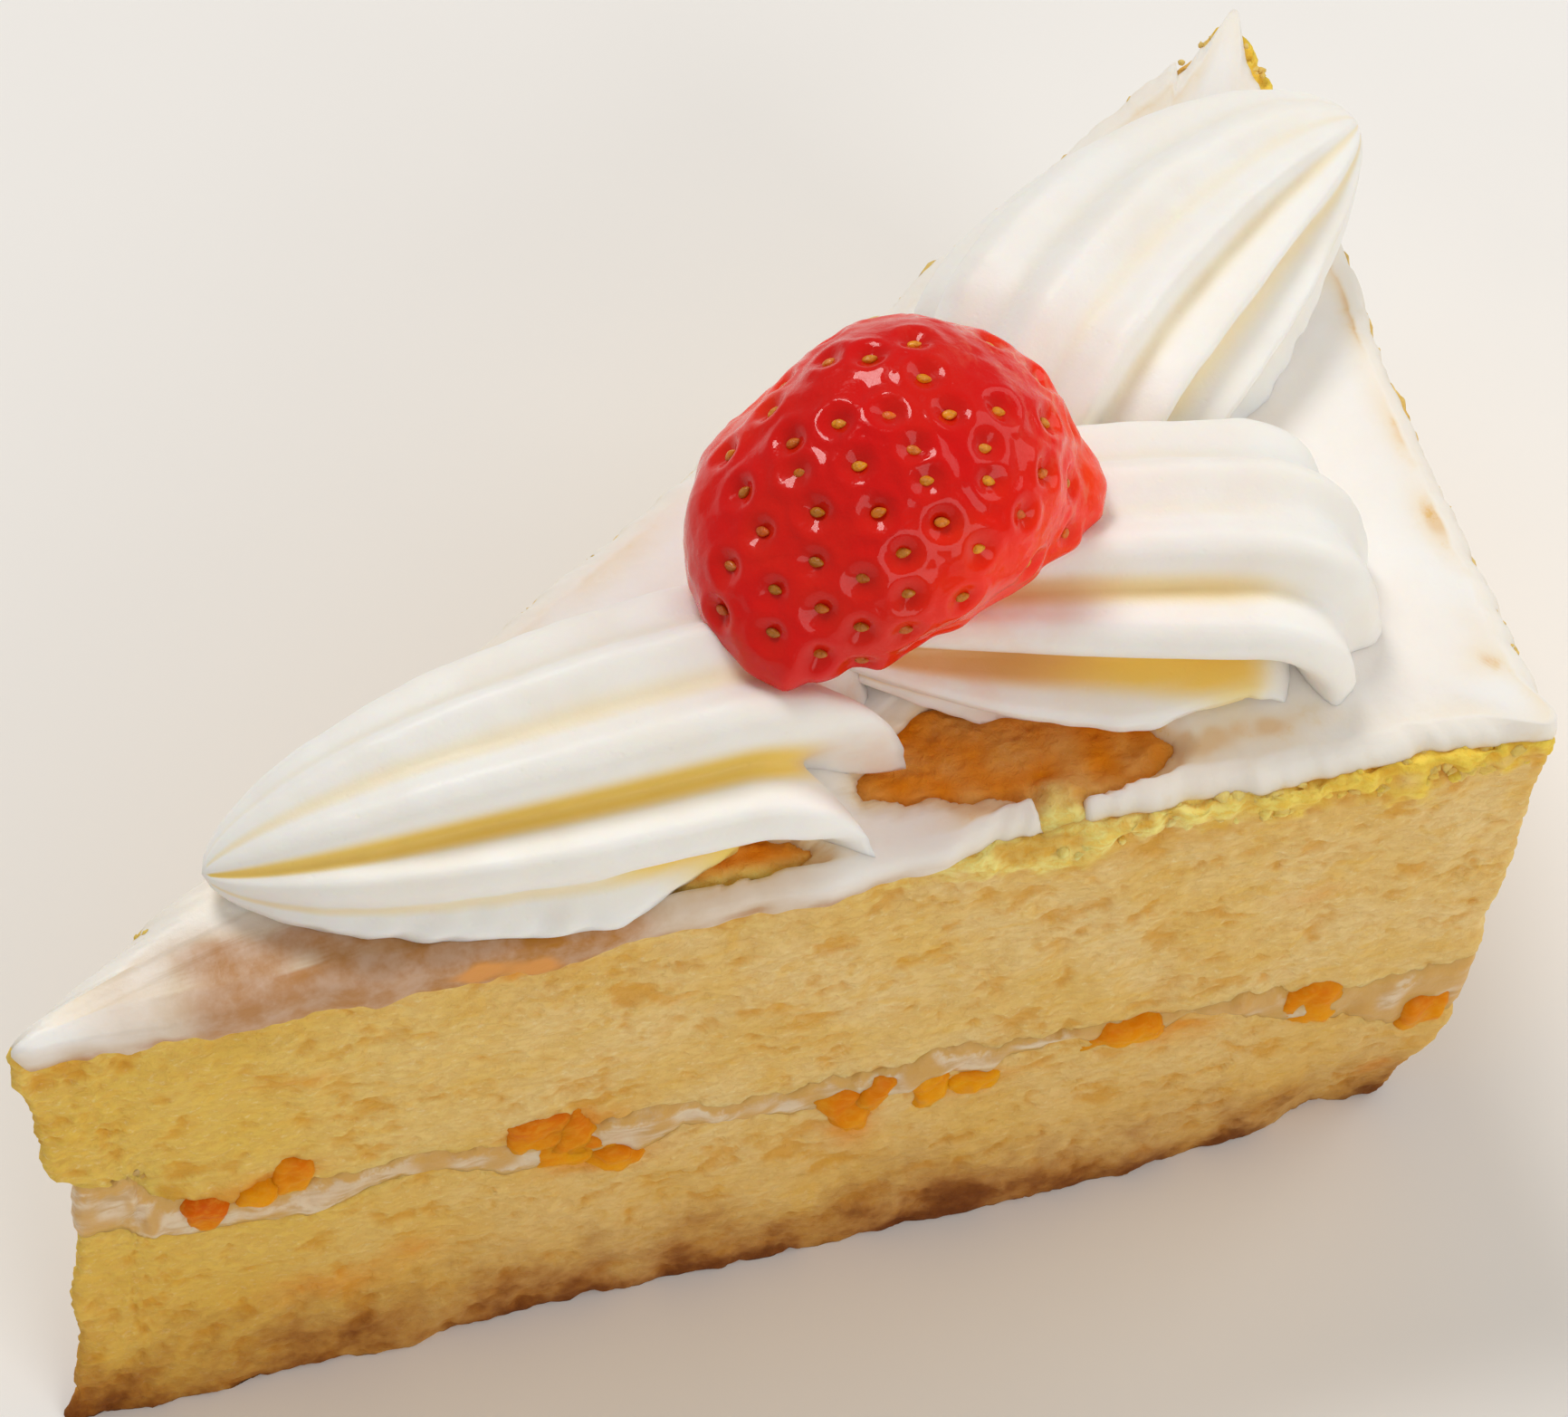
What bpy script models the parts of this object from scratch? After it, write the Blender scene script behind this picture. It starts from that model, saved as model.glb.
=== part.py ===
"""A slice of strawberry shortcake, cut as a right-angled wedge from a sheet cake.

Two layers of yellow sponge hold a cream filling with diced peach in it. A thin
white icing lies on top, with a bare patch near its front edge. Three piped cream
shells stand on the icing and carry half a strawberry, cut face down.
Metres, Z up. The slice stands on z = 0 and its point looks towards -X.
"""

import math
import random

import bmesh
import bpy
from mathutils import Matrix, Vector, noise

MM = 0.001
GAP = 0.3 * MM                      # air kept between two pieces that touch

# Driving dimensions of the slice
SLICE_LENGTH = 103.3 * MM           # front face, before its corners are rounded
SLICE_DEPTH = 65.1 * MM             # right side, the same way
FRONT_CORNER = Vector((51.0, -32.2)) * MM
BACK_CORNER_INSET = 0.4 * MM        # the right side leans in a little at the back
SPONGE_TOP = 46.0 * MM              # height of the two sponges and their filling
ICING_TOP = 48.0 * MM
TIP_ROUNDING = 0.6 * MM
CORNER_ROUNDING = 1.2 * MM

# The filling's lower and upper line on the front face, in mm: (x, height)
FILLING_FLOOR = (
    (-48, 23.4), (-39, 20.5), (-27, 21.3), (-16, 18.2), (8, 18.9),
    (15, 17.2), (22, 19.9), (34, 17.6), (41, 14.8), (50, 12.4),
)
FILLING_CEILING = (
    (-48, 28.7), (-41, 25.1), (-18, 25.3), (-4, 22.4), (10, 22.1),
    (27, 21.8), (35, 22.5), (42, 20.6), (50, 20.1),
)
FLOOR_MIDDLE = 18.9 * MM            # the same two faces inside the cake
CEILING_MIDDLE = 22.9 * MM
LAYER_SLOPE = -0.055                # both fall towards +X
SIDE_WAVE = 1.1 * MM                # waves of the layers on the two other sides
SIDE_WAVE_LENGTH = 13.0 * MM
FILLING_SWELL = 0.9 * MM

# How far the sides lean in, in mm: (height, inset)
RIGHT_UNDERCUT = ((0, 4.3), (2.4, 4.1), (12.6, 1.6), (17, 1.0), (46, 0))
TIP_SETBACK = ((0, 1.3), (8, 1.9), (22, 3.4), (28, 3.6), (32, 1.6), (46, 0.3))
FRONT_FOOT = (                      # how far the front face's foot stands out: (x, amount)
    (-50, 1.3), (-26, 1.1), (-18, 0.4), (20, 0.4), (32, -0.2), (44, -1.9),
)
FOOT_HEIGHT = 11.0 * MM
RIGHT_BOW = 0.8 * MM                # the right side's hollow, in its front half
CRUMB_RELIEF = 0.45 * MM
CRUMB_SIZE = 5.0 * MM

# Mesh steps
OUTLINE_STEP = 3.3 * MM
CORNER_STEPS = 2
SPONGE_ROWS = 6
INNER_RING = 0.86                   # ring inside an end, towards the middle

# Icing
ICING_LIP = 0.5 * MM
ICING_REACH = 0.55 * MM             # it hangs over the front-left edge by this much
ICING_SETBACK = 0.8 * MM            # and stays behind the edge elsewhere
ICING_DROP = 1.7 * MM
DROP_END = 17.0 * MM                # x at which the hanging edge stops
SHOULDER = 0.6 * MM                 # the sponge's top edge under the hanging icing
BARE_PATCH = (                      # where the sponge shows, open to the front edge: (x, y)
    (7.2, -24.9), (11.4, -23.2), (17.0, -24.4), (22.6, -26.2), (22.3, -28.4), (20.3, -29.8),
    (19.6, -31.5), (19.4, -36.0), (17.0, -36.0), (16.8, -31.5), (16.0, -29.4), (10.8, -27.2),
    (7.8, -28.4),
)

# Peach dice: (side, distance along it, height, width, height of the die, turn in degrees), mm
PEACH_DICE = (
    ("front", 12.7, 22.9, 3.4, 3.0, 12),
    ("front", 17.5, 23.6, 4.2, 3.4, -8),
    ("front", 36.3, 21.4, 5.8, 6.2, 6),
    ("front", 56.6, 17.2, 5.2, 5.0, 38),
    ("front", 63.2, 18.3, 4.2, 3.4, -6),
    ("front", 76.3, 19.8, 5.2, 3.4, 8),
    ("front", 90.0, 18.0, 4.6, 4.2, -14),
    ("front", 99.4, 14.4, 3.2, 3.4, 10),
    ("right", 18.0, 17.6, 5.0, 4.2, 10),
    ("right", 44.0, 18.4, 5.2, 3.6, -15),
    ("back", 22.0, 18.0, 4.6, 4.0, 15),
    ("back", 47.0, 20.4, 5.4, 4.6, -10),
    ("back", 82.0, 22.4, 5.0, 4.0, 4),
)
DIE_DEPTH = 5.0 * MM
DIE_PROUD = 0.5 * MM                # a die stands this far out of its face
DIE_ROUNDING = 0.7 * MM

# Piped cream shells. Each starts at its head and tapers to its tail, in mm and degrees.
# The crests of its ridges are turns from straight up, positive towards its left side.
SHELLS = {
    "cream_shell_tip": {
        "middle": (-4.0, -22.3), "forward": 3.0, "tail": (-36.8, -24.3), "tail_height": 2.2,
        "half_width": 10.6, "height": 12.2, "reach": 12.4, "depth": 0.3,
        "crests": (-160, -118, -78, -42, -8, 20, 54, 93, 145),
    },
    "cream_shell_back": {
        "middle": (28.8, 3.0), "forward": -138.0, "tail": (52.3, 14.9), "tail_height": 5.5,
        "half_width": 12.6, "height": 10.6, "reach": 12.0, "depth": 0.24,
        "crests": (-172, -135, -100, -68, -48, -29, -4, 40, 85, 135),
    },
    "cream_shell_side": {
        "middle": (32.6, -17.8), "forward": -12.0, "tail": (1.5, -15.8), "tail_height": 6.0,
        "half_width": 11.6, "height": 11.4, "reach": 10.4, "depth": 0.28,
        "crests": (-165, -122, -80, -42, -9, 12, 36, 73, 106, 148),
    },
}
MEETING_SHELLS = (                  # a shell gives way to those beside it that were piped first
    ("cream_shell_side", ("cream_shell_tip", "cream_shell_back")),
    ("cream_shell_tip", ("cream_shell_back",)),
)
SHELL_SUNK = 1.6 * MM               # the spine curls round a point this far into the icing
BEND_SHARE = 0.3                    # share of a shell's height that its spine bends round
SAMPLES_PER_RIDGE = 4
SHELL_STATIONS = 18
TAIL_STATIONS = 0.55                # share of the stations along the tail
TAIL_FULLNESS = 2.1                 # the more, the longer the tail stays wide
TAIL_BLUNTNESS = 0.62               # the less, the blunter its tip
HEAD_TURN = math.radians(118)       # the head curls down past the icing
RIDGE_ROUNDNESS = 0.6               # under 1 the ridges are broad and the valleys narrow

# Strawberry half, cut face down on the shells
BERRY_MIDDLE = Vector((10.0, -14.0)) * MM
BERRY_HEIGHT = 12.3 * MM
BERRY_SEAT = 59.6 * MM              # height of its cut face
BERRY_OUTLINE = (                   # the cut face: (direction in degrees, radius in mm)
    (-180, 13.8), (-152, 14.9), (-133, 16.2), (-116, 13.4), (-88, 10.5), (-45, 10.8),
    (-10, 13.5), (14, 12.8), (60, 12.2), (124, 11.2), (160, 12.4), (180, 13.8),
)
BERRY_ROUND = 12.0 * MM             # the outline's radius higher up, where it evens out
BERRY_SEGMENTS = 46
BERRY_BULGE = 2.2                   # over 2 the dome is fuller than an ellipsoid
SEED_HEADING = math.radians(-8)     # the seeds' rows cross the fruit this way
SEED_SPACING = 4.4 * MM
SEED_ROWS = 10
SEED_SIZE = Vector((1.5, 1.0, 0.7)) * MM
SEED_SUNK = 0.35 * MM
DIMPLE_DEPTH = 0.5 * MM
DIMPLE_RADIUS = 1.4 * MM
LOWEST_SEED = math.radians(9)       # height angle of the lowest seeds above the cut face

TIP = FRONT_CORNER - Vector((SLICE_LENGTH, 0.0))
BACK_CORNER = FRONT_CORNER + Vector((-BACK_CORNER_INSET, SLICE_DEPTH))
SIDES = {
    "front": (TIP, FRONT_CORNER),
    "right": (FRONT_CORNER, BACK_CORNER),
    "back": (BACK_CORNER, TIP),
}
# Sets the whole slice over the origin, as the back shell's tail hangs past the right side
CENTRING = Vector((-0.9, 0.9, 0.0)) * MM


def eased(low, high, value):
    """Rise smoothly from 0 at low to 1 at high."""
    share = min(max((value - low) / (high - low), 0.0), 1.0)
    return share * share * (3.0 - 2.0 * share)


def follow(profile, value):
    """Read a profile of (position, amount) pairs, eased between them."""
    if value <= profile[0][0]:
        return profile[0][1]
    for (start, low), (end, high) in zip(profile, profile[1:]):
        if value <= end:
            return low + (high - low) * eased(start, end, value)
    return profile[-1][1]


def waves(point, size, seed):
    """Smooth bumps between about -1 and 1, of one size in space."""
    return noise.noise(point / size + Vector((seed * 17.3, seed * 5.1, seed * 9.7)))


def clear_scene():
    """Remove every object, so that the script starts from an empty file."""
    for thing in list(bpy.data.objects):
        bpy.data.objects.remove(thing, do_unlink=True)


def new_collection(name):
    """Add a collection to the scene."""
    group = bpy.data.collections.new(name)
    bpy.context.scene.collection.children.link(group)
    return group


def linear(red, green, blue):
    """Turn a screen colour of 0 to 255 into the shader's linear colour."""
    channels = []
    for value in (red, green, blue):
        share = value / 255
        channels.append(share / 12.92 if share <= 0.04045 else ((share + 0.055) / 1.055) ** 2.4)
    return (*channels, 1.0)


def new_material(name, colour, roughness):
    """A plain food surface."""
    material = bpy.data.materials.new(name)
    material.use_nodes = True
    shader = material.node_tree.nodes["Principled BSDF"]
    shader.inputs["Base Color"].default_value = linear(*colour)
    shader.inputs["Roughness"].default_value = roughness
    shader.inputs["Metallic"].default_value = 0.0
    return material


def new_piece(name, block, group, material=None):
    """Turn a bmesh into an object of a collection, in triangles that cut cleanly."""
    bmesh.ops.triangulate(block, faces=block.faces, quad_method="SHORT_EDGE")
    mesh = bpy.data.meshes.new(name)
    block.to_mesh(mesh)
    block.free()
    piece = bpy.data.objects.new(name, mesh)
    group.objects.link(piece)
    if material:
        mesh.materials.append(material)
    else:
        piece.hide_render = True
        piece.display_type = "WIRE"
    return piece


def rounded_outline(corners, radii):
    """List (point, outward normal) round a polygon with rounded corners."""
    outline = []
    count = len(corners)
    arcs = []
    for index, corner in enumerate(corners):
        way_in = (corner - corners[index - 1]).normalized()
        way_out = (corners[(index + 1) % count] - corner).normalized()
        turn = abs(way_in.angle_signed(way_out))
        start = corner - way_in * radii[index] * math.tan(turn / 2)
        normal = Vector((way_in.y, -way_in.x))
        arcs.append((start - normal * radii[index], radii[index], normal, turn))
    for index, (centre, radius, normal, turn) in enumerate(arcs):
        for step in range(CORNER_STEPS + 1):
            outward = turned(normal, turn * step / CORNER_STEPS)
            outline.append((centre + outward * radius, outward))
        end = outline[-1][0]
        next_centre, next_radius, next_normal, _ = arcs[(index + 1) % count]
        goal = next_centre + next_normal * next_radius
        steps = round((goal - end).length / OUTLINE_STEP)
        for step in range(1, steps):
            outline.append((end.lerp(goal, step / steps), next_normal))
    return outline


def turned(direction, angle):
    """Turn a flat direction counter-clockwise."""
    cosine, sine = math.cos(angle), math.sin(angle)
    across = direction.x * sine + direction.y * cosine
    return Vector((direction.x * cosine - direction.y * sine, across))


def triangle_middle():
    """The point at the same distance from all three sides."""
    weights = [(b - a).length for a, b in (SIDES["right"], SIDES["back"], SIDES["front"])]
    corners = (TIP, FRONT_CORNER, BACK_CORNER)
    return sum((c * w for c, w in zip(corners, weights)), Vector((0, 0))) / sum(weights)


OUTLINE = rounded_outline(
    (TIP, FRONT_CORNER, BACK_CORNER),
    (TIP_ROUNDING, CORNER_ROUNDING, CORNER_ROUNDING),
)
MIDDLE = triangle_middle()


def drum(rows, flat_base=False):
    """Start a round block: rows up its side, a ring and a middle point in each end or only the top."""
    block = bmesh.new()
    bmesh.ops.create_cone(
        block, cap_ends=True, cap_tris=False, segments=len(OUTLINE),
        radius1=1.0, radius2=1.0, depth=1.0,
    )
    lowest = 0.5 if flat_base else -2.0
    ends = [face for face in block.faces if abs(face.normal.z) > 0.5 and face.normal.z > lowest]
    bmesh.ops.inset_individual(block, faces=ends, thickness=1.0 - INNER_RING)
    bmesh.ops.poke(block, faces=ends)
    uprights = [edge for edge in block.edges if abs(edge.verts[0].co.z - edge.verts[1].co.z) > 0.5]
    bmesh.ops.subdivide_edges(block, edges=uprights, cuts=rows - 1)
    return block


def drum_place(vertex, rows):
    """Say where a drum's vertex is: outline index, share of the way out to the side, and row."""
    around = len(OUTLINE)
    index = round(math.atan2(-vertex.co.x, vertex.co.y) / math.tau * around) % around
    share = min((0.0, INNER_RING, 1.0), key=lambda ring: abs(vertex.co.xy.length - ring))
    return index, share, round((vertex.co.z + 0.5) * rows)


def front_share(point):
    """1 on the front face, 0 a few millimetres behind it."""
    return 1.0 - eased(-31.5 * MM, -26.0 * MM, point.y)


def layer_height(point, profile, middle, seed):
    """Height of a layer's wavy face at a place in the slice."""
    shown = follow(profile, point.x / MM) * MM
    level = middle + LAYER_SLOPE * point.x
    other = level + SIDE_WAVE * waves(point.to_3d(), SIDE_WAVE_LENGTH, seed)
    share = front_share(point)
    return shown * share + other * (1.0 - share)


def shaped_side(point, outward, height, relief):
    """Move an outline point to where the cake's uneven side really is."""
    bump = waves(Vector((point.x, point.y, height)), CRUMB_SIZE, 1)
    bump += 0.5 * waves(Vector((point.x, point.y, height)), CRUMB_SIZE / 2, 2)
    place = point + outward * (relief + CRUMB_RELIEF * bump)
    level = height / MM
    place.x -= follow(RIGHT_UNDERCUT, level) * MM * eased(36 * MM, 49 * MM, point.x)
    place.x += follow(TIP_SETBACK, level) * MM * eased(-42 * MM, -49 * MM, point.x)
    on_right = eased(FRONT_CORNER.x - 3 * MM, FRONT_CORNER.x - 1 * MM, point.x)
    place.x -= RIGHT_BOW * on_right * math.exp(-(((point.y + 9 * MM) / (10 * MM)) ** 2))
    foot = follow(FRONT_FOOT, point.x / MM) * MM * front_share(point)
    place.y -= foot * (1.0 - eased(0, FOOT_HEIGHT, height))
    return place


def cake_layer(rows, floor, ceiling, relief, flat_base=False):
    """Wrap a drum onto the slice between two heights, each a function of the place."""
    block = drum(rows, flat_base)
    for vertex in block.verts:
        index, share, row = drum_place(vertex, rows)
        point, outward = OUTLINE[index]
        place = MIDDLE.lerp(point, share)
        low = floor(place)
        height = low + (ceiling(place) - low) * row / rows
        if share == 1.0:
            place = shaped_side(point, outward, height, relief(point, height))
        vertex.co = (place.x, place.y, height)
    return block


def filling_floor(point):
    """Underside of the filling."""
    return layer_height(point, FILLING_FLOOR, FLOOR_MIDDLE, 5)


def filling_ceiling(point):
    """Upper face of the filling."""
    return layer_height(point, FILLING_CEILING, CEILING_MIDDLE, 6)


def hanging_share(point):
    """1 where the icing hangs over the front edge, 0 where it stays behind it."""
    on_front = 1.0 - eased(TIP.y + 0.1 * MM, TIP.y + 0.8 * MM, point.y)
    past_tip = eased(TIP.x + 1.5 * MM, TIP.x + 7 * MM, point.x)
    return on_front * past_tip * (1.0 - eased(DROP_END - 4 * MM, DROP_END, point.x))


def build_sponge_bottom():
    """The lower sponge, flat on the board."""
    return cake_layer(
        SPONGE_ROWS, lambda point: 0.0, lambda point: filling_floor(point) - GAP,
        lambda point, height: 0.0, flat_base=True,
    )


def build_filling():
    """The cream between the sponges. Its face swells or sinks halfway up, but meets both sponges."""
    def swelling(point, height):
        low = filling_floor(point)
        high = filling_ceiling(point)
        halfway = math.sin(math.pi * (height - low) / (high - low))
        return FILLING_SWELL * halfway * waves(point.to_3d(), 9 * MM, 7)

    return cake_layer(2, filling_floor, filling_ceiling, swelling)


def build_sponge_top():
    """The upper sponge. Its top edge draws in under the hanging icing."""
    def shoulder(point, height):
        return -SHOULDER * hanging_share(point) * eased(39 * MM, 43 * MM, height)

    return cake_layer(
        SPONGE_ROWS, lambda point: filling_ceiling(point) + GAP, lambda point: SPONGE_TOP, shoulder,
    )


def icing_edge(point, row):
    """Reach and height of the icing's edge, from its underside up to its top."""
    hanging = hanging_share(point)
    ragged = waves(point.to_3d(), 6 * MM, 11)
    corner = min((point - end).length for end in (TIP, FRONT_CORNER, BACK_CORNER))
    clear = eased(2 * MM, 8 * MM, corner)
    reach = ICING_REACH * hanging - (ICING_SETBACK + 0.5 * MM * ragged) * clear * (1.0 - hanging)
    lip = ICING_LIP * (0.4 + 0.6 * clear)
    drop = ICING_DROP * (0.75 + 0.5 * ragged) * eased(0.85, 1.0, hanging)
    drop *= 1.0 - eased(DROP_END - 9 * MM, DROP_END - 5 * MM, point.x)
    under = SPONGE_TOP + GAP
    rows = (
        (reach - lip, under),
        (reach - lip * 0.9, under - drop),
        (reach, under - drop + 0.1 * MM),
        (reach, ICING_TOP - 0.6 * MM),
        (reach - lip, ICING_TOP - 0.05 * MM),
    )
    return rows[row]


def build_icing():
    """The thin icing: a flat skin whose rim hangs over the front-left edge."""
    rows = 4
    block = drum(rows)
    for vertex in block.verts:
        index, share, row = drum_place(vertex, rows)
        point, outward = OUTLINE[index]
        if share == 1.0:
            reach, height = icing_edge(point, row)
            place = shaped_side(point, outward, SPONGE_TOP, reach)
        else:
            place = MIDDLE.lerp(point, share)
            height = SPONGE_TOP + GAP if row == 0 else ICING_TOP
        vertex.co = (place.x, place.y, height)
    return block


def build_patch_cutter():
    """A prism through the icing where the sponge lies bare."""
    block = bmesh.new()
    corners = [block.verts.new((x * MM, y * MM, SPONGE_TOP - 6 * MM)) for x, y in BARE_PATCH]
    face = block.faces.new(corners)
    lifted = bmesh.ops.extrude_face_region(block, geom=[face])
    risen = [item for item in lifted["geom"] if isinstance(item, bmesh.types.BMVert)]
    bmesh.ops.translate(block, verts=risen, vec=(0, 0, 12 * MM))
    bmesh.ops.recalc_face_normals(block, faces=block.faces)
    return block


def build_die(index, grow):
    """One die of peach, set into its side of the slice; grow makes the pocket for it."""
    side, along, height, width, tall, turn = PEACH_DICE[index]
    draw = random.Random(40 + index)
    block = bmesh.new()
    bmesh.ops.create_cube(block, size=1.0)
    size = Vector((width * MM, DIE_DEPTH, tall * MM)) + Vector((2, 2, 2)) * grow
    for vertex in block.verts:
        unevenness = Vector([draw.uniform(-0.4, 0.4) * MM for _ in range(3)])
        vertex.co = vertex.co * size + unevenness
    if grow == 0:
        bmesh.ops.bevel(
            block, geom=block.edges, offset=DIE_ROUNDING, segments=1, profile=0.5,
            affect="EDGES", material=-1,
        )
    start, end = SIDES[side]
    way = (end - start).normalized()
    inward = Vector((-way.y, way.x))
    flat = start + way * along * MM + inward * (DIE_DEPTH / 2 - DIE_PROUD)
    place = shaped_side(flat, inward, height * MM, 0.0)
    frame = Matrix((
        (way.x, inward.x, 0, place.x),
        (way.y, inward.y, 0, place.y),
        (0, 0, 1, height * MM),
        (0, 0, 0, 1),
    ))
    frame = frame @ Matrix.Rotation(math.radians(turn), 4, "Y")
    bmesh.ops.transform(block, matrix=frame, verts=block.verts)
    return block


def shell_spine(shell, back):
    """Centre and way forward of a shell's tail: back is 0 at its head, 1 at its tip."""
    middle = Vector(shell["middle"]) * MM
    tail = Vector(shell["tail"]) * MM
    forward = turned(Vector((1.0, 0.0)), math.radians(shell["forward"]))
    knee = middle - forward * (tail - middle).length / 2
    centre = middle.lerp(knee, back).lerp(knee.lerp(tail, back), back)
    way = (middle.lerp(knee, back) - knee.lerp(tail, back)).normalized()
    return centre, way


def ridge_turn(shell, ring):
    """Turn of a sample round the section and how far it is from a crest to the next one."""
    crests = shell["crests"]
    number = math.floor(ring)
    start = crests[number % len(crests)]
    end = crests[(number + 1) % len(crests)]
    if end < start:
        end += 360
    return math.radians(start + (end - start) * (ring - number)), ring - number


def shell_point(shell, ring, share, grow):
    """A point of a piped shell: ring counts ridges round it, share goes from tail tip to head."""
    turn, past_crest = ridge_turn(shell, ring)
    growth = 0.5 + 0.5 * eased(0.0, 0.3, share) + 0.3 * eased(0.6, 0.85, share)
    valley = 1.0 - abs(math.cos(math.pi * past_crest)) ** RIDGE_ROUNDNESS
    star = 1.0 - shell["depth"] * growth * valley
    bend = shell["height"] * MM * BEND_SHARE
    upright = shell["height"] * MM - bend + SHELL_SUNK
    if share < TAIL_STATIONS:
        back = 1.0 - share / TAIL_STATIONS
        lean = 0.0
        taper = max(1.0 - back ** TAIL_FULLNESS, 0.0) ** TAIL_BLUNTNESS
        stretch = taper
        centre, way = shell_spine(shell, back)
        rise = bend + (shell["tail_height"] * MM + SHELL_SUNK - bend) * back ** 1.5
    else:
        head = (share - TAIL_STATIONS) / (1.0 - TAIL_STATIONS)
        lean = HEAD_TURN * head
        closing = math.sqrt(max(1.0 - (max(head - 0.76, 0.0) / 0.24) ** 2, 0.0))
        taper = closing * (1.0 - 0.1 * eased(0.2, 0.8, head))
        forward = (shell["reach"] * MM - bend) / upright
        stretch = taper * (1.0 + (forward - 1.0) * eased(0.0, 0.75, head))
        centre, way = shell_spine(shell, 0.0)
        centre = centre + way * bend * math.sin(lean)
        rise = bend * math.cos(lean)
    side = (shell["half_width"] * MM * taper * star + grow) * math.sin(turn)
    out = (upright * stretch * star + grow) * math.cos(turn)
    across = Vector((way.y, -way.x))
    place = centre + way * out * math.sin(lean) + across * side
    return Vector((place.x, place.y, ICING_TOP - SHELL_SUNK + rise + out * math.cos(lean)))


def build_shell(name, grow):
    """One piped cream shell: a ridged drop whose head curls down onto the icing."""
    shell = SHELLS[name]
    ridges = len(shell["crests"])
    block = bmesh.new()
    bmesh.ops.create_uvsphere(
        block, u_segments=ridges * SAMPLES_PER_RIDGE, v_segments=SHELL_STATIONS, radius=1.0,
    )
    for vertex in block.verts:
        ring = math.atan2(vertex.co.x, vertex.co.y) / math.tau * ridges
        share = math.acos(max(-1.0, min(1.0, vertex.co.z))) / math.pi
        vertex.co = shell_point(shell, ring, share, grow)
    cut_level(block, ICING_TOP + GAP if grow == 0 else ICING_TOP - GAP)
    return block


def cut_level(block, height):
    """Cut a block flat at a height, keep the upper part and close it."""
    bmesh.ops.bisect_plane(
        block, geom=block.verts[:] + block.edges[:] + block.faces[:],
        plane_co=(0, 0, height), plane_no=(0, 0, -1), clear_outer=True, dist=1e-7,
    )
    rim = [edge for edge in block.edges if edge.is_boundary]
    bmesh.ops.holes_fill(block, edges=rim, sides=0)
    bmesh.ops.recalc_face_normals(block, faces=block.faces)


def berry_point(direction, lift):
    """The strawberry's surface in a direction from the middle of its cut face."""
    azimuth = math.degrees(math.atan2(direction.y, direction.x))
    level = math.hypot(direction.x, direction.y)
    outline = follow(BERRY_OUTLINE, azimuth) * MM
    outline += (BERRY_ROUND - outline) * eased(0.1, 0.9, abs(direction.z))
    size = (level / outline) ** BERRY_BULGE + (abs(direction.z) / BERRY_HEIGHT) ** BERRY_BULGE
    radius = size ** (-1.0 / BERRY_BULGE) + lift
    return Vector((*BERRY_MIDDLE, BERRY_SEAT)) + direction * radius


def seed_directions():
    """Directions of the seeds: staggered rows across the fruit."""
    along = turned(Vector((1.0, 0.0)), SEED_HEADING)
    axis = Vector((along.x, along.y, 0.0))
    across = Vector((-along.y, along.x, 0.0))
    directions = []
    for row in range(SEED_ROWS):
        polar = math.pi * (row + 0.5) / SEED_ROWS
        count = max(round(math.tau * BERRY_ROUND * math.sin(polar) / SEED_SPACING), 3)
        for number in range(count):
            turn = math.tau * (number + 0.5 * (row % 2)) / count
            ring = across * math.sin(turn) + Vector((0, 0, 1)) * math.cos(turn)
            direction = axis * math.cos(polar) + ring * math.sin(polar)
            if direction.z > math.sin(LOWEST_SEED):
                directions.append(direction)
    return directions


def build_berry(directions, grow):
    """Half a strawberry with a dimple at each seed; grow makes the room for it."""
    block = bmesh.new()
    bmesh.ops.create_uvsphere(
        block, u_segments=BERRY_SEGMENTS, v_segments=BERRY_SEGMENTS // 2, radius=1.0,
    )
    centres = [berry_point(direction, 0.0) for direction in directions]
    for vertex in block.verts:
        direction = vertex.co.normalized()
        sunk = 0.0
        if centres:
            place = berry_point(direction, 0.0)
            nearest = min((place - centre).length for centre in centres)
            sunk = DIMPLE_DEPTH * math.exp(-((nearest / DIMPLE_RADIUS) ** 2))
        vertex.co = berry_point(direction, grow - sunk)
    cut_level(block, BERRY_SEAT - grow)
    return block


def build_seed(direction):
    """One seed, lying along its row at the bottom of a dimple."""
    place = berry_point(direction, -SEED_SUNK)
    heading = turned(Vector((1.0, 0.0)), SEED_HEADING).to_3d()
    across = direction.cross(heading).normalized()
    along = across.cross(direction).normalized()
    block = bmesh.new()
    bmesh.ops.create_icosphere(block, subdivisions=1, radius=0.5)
    bmesh.ops.scale(block, vec=SEED_SIZE, verts=block.verts)
    frame = Matrix((along, across, direction)).transposed().to_4x4()
    frame.translation = place
    bmesh.ops.transform(block, matrix=frame, verts=block.verts)
    bmesh.ops.recalc_face_normals(block, faces=block.faces)
    return block


def add_boolean(piece, operation, tool):
    """Cut or join a piece with an object or with a whole collection."""
    modifier = piece.modifiers.new(operation.title(), "BOOLEAN")
    modifier.operation = operation
    modifier.solver = "EXACT"
    if isinstance(tool, bpy.types.Collection):
        modifier.operand_type = "COLLECTION"
        modifier.collection = tool
    else:
        modifier.object = tool


def bodies_of(block):
    """List the separate bodies of a bmesh, each as a set of vertices."""
    waiting = set(block.verts)
    bodies = []
    while waiting:
        front = [waiting.pop()]
        body = set(front)
        while front:
            vertex = front.pop()
            for edge in vertex.link_edges:
                other = edge.other_vert(vertex)
                if other in waiting:
                    waiting.remove(other)
                    body.add(other)
                    front.append(other)
        bodies.append(body)
    return bodies


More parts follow.
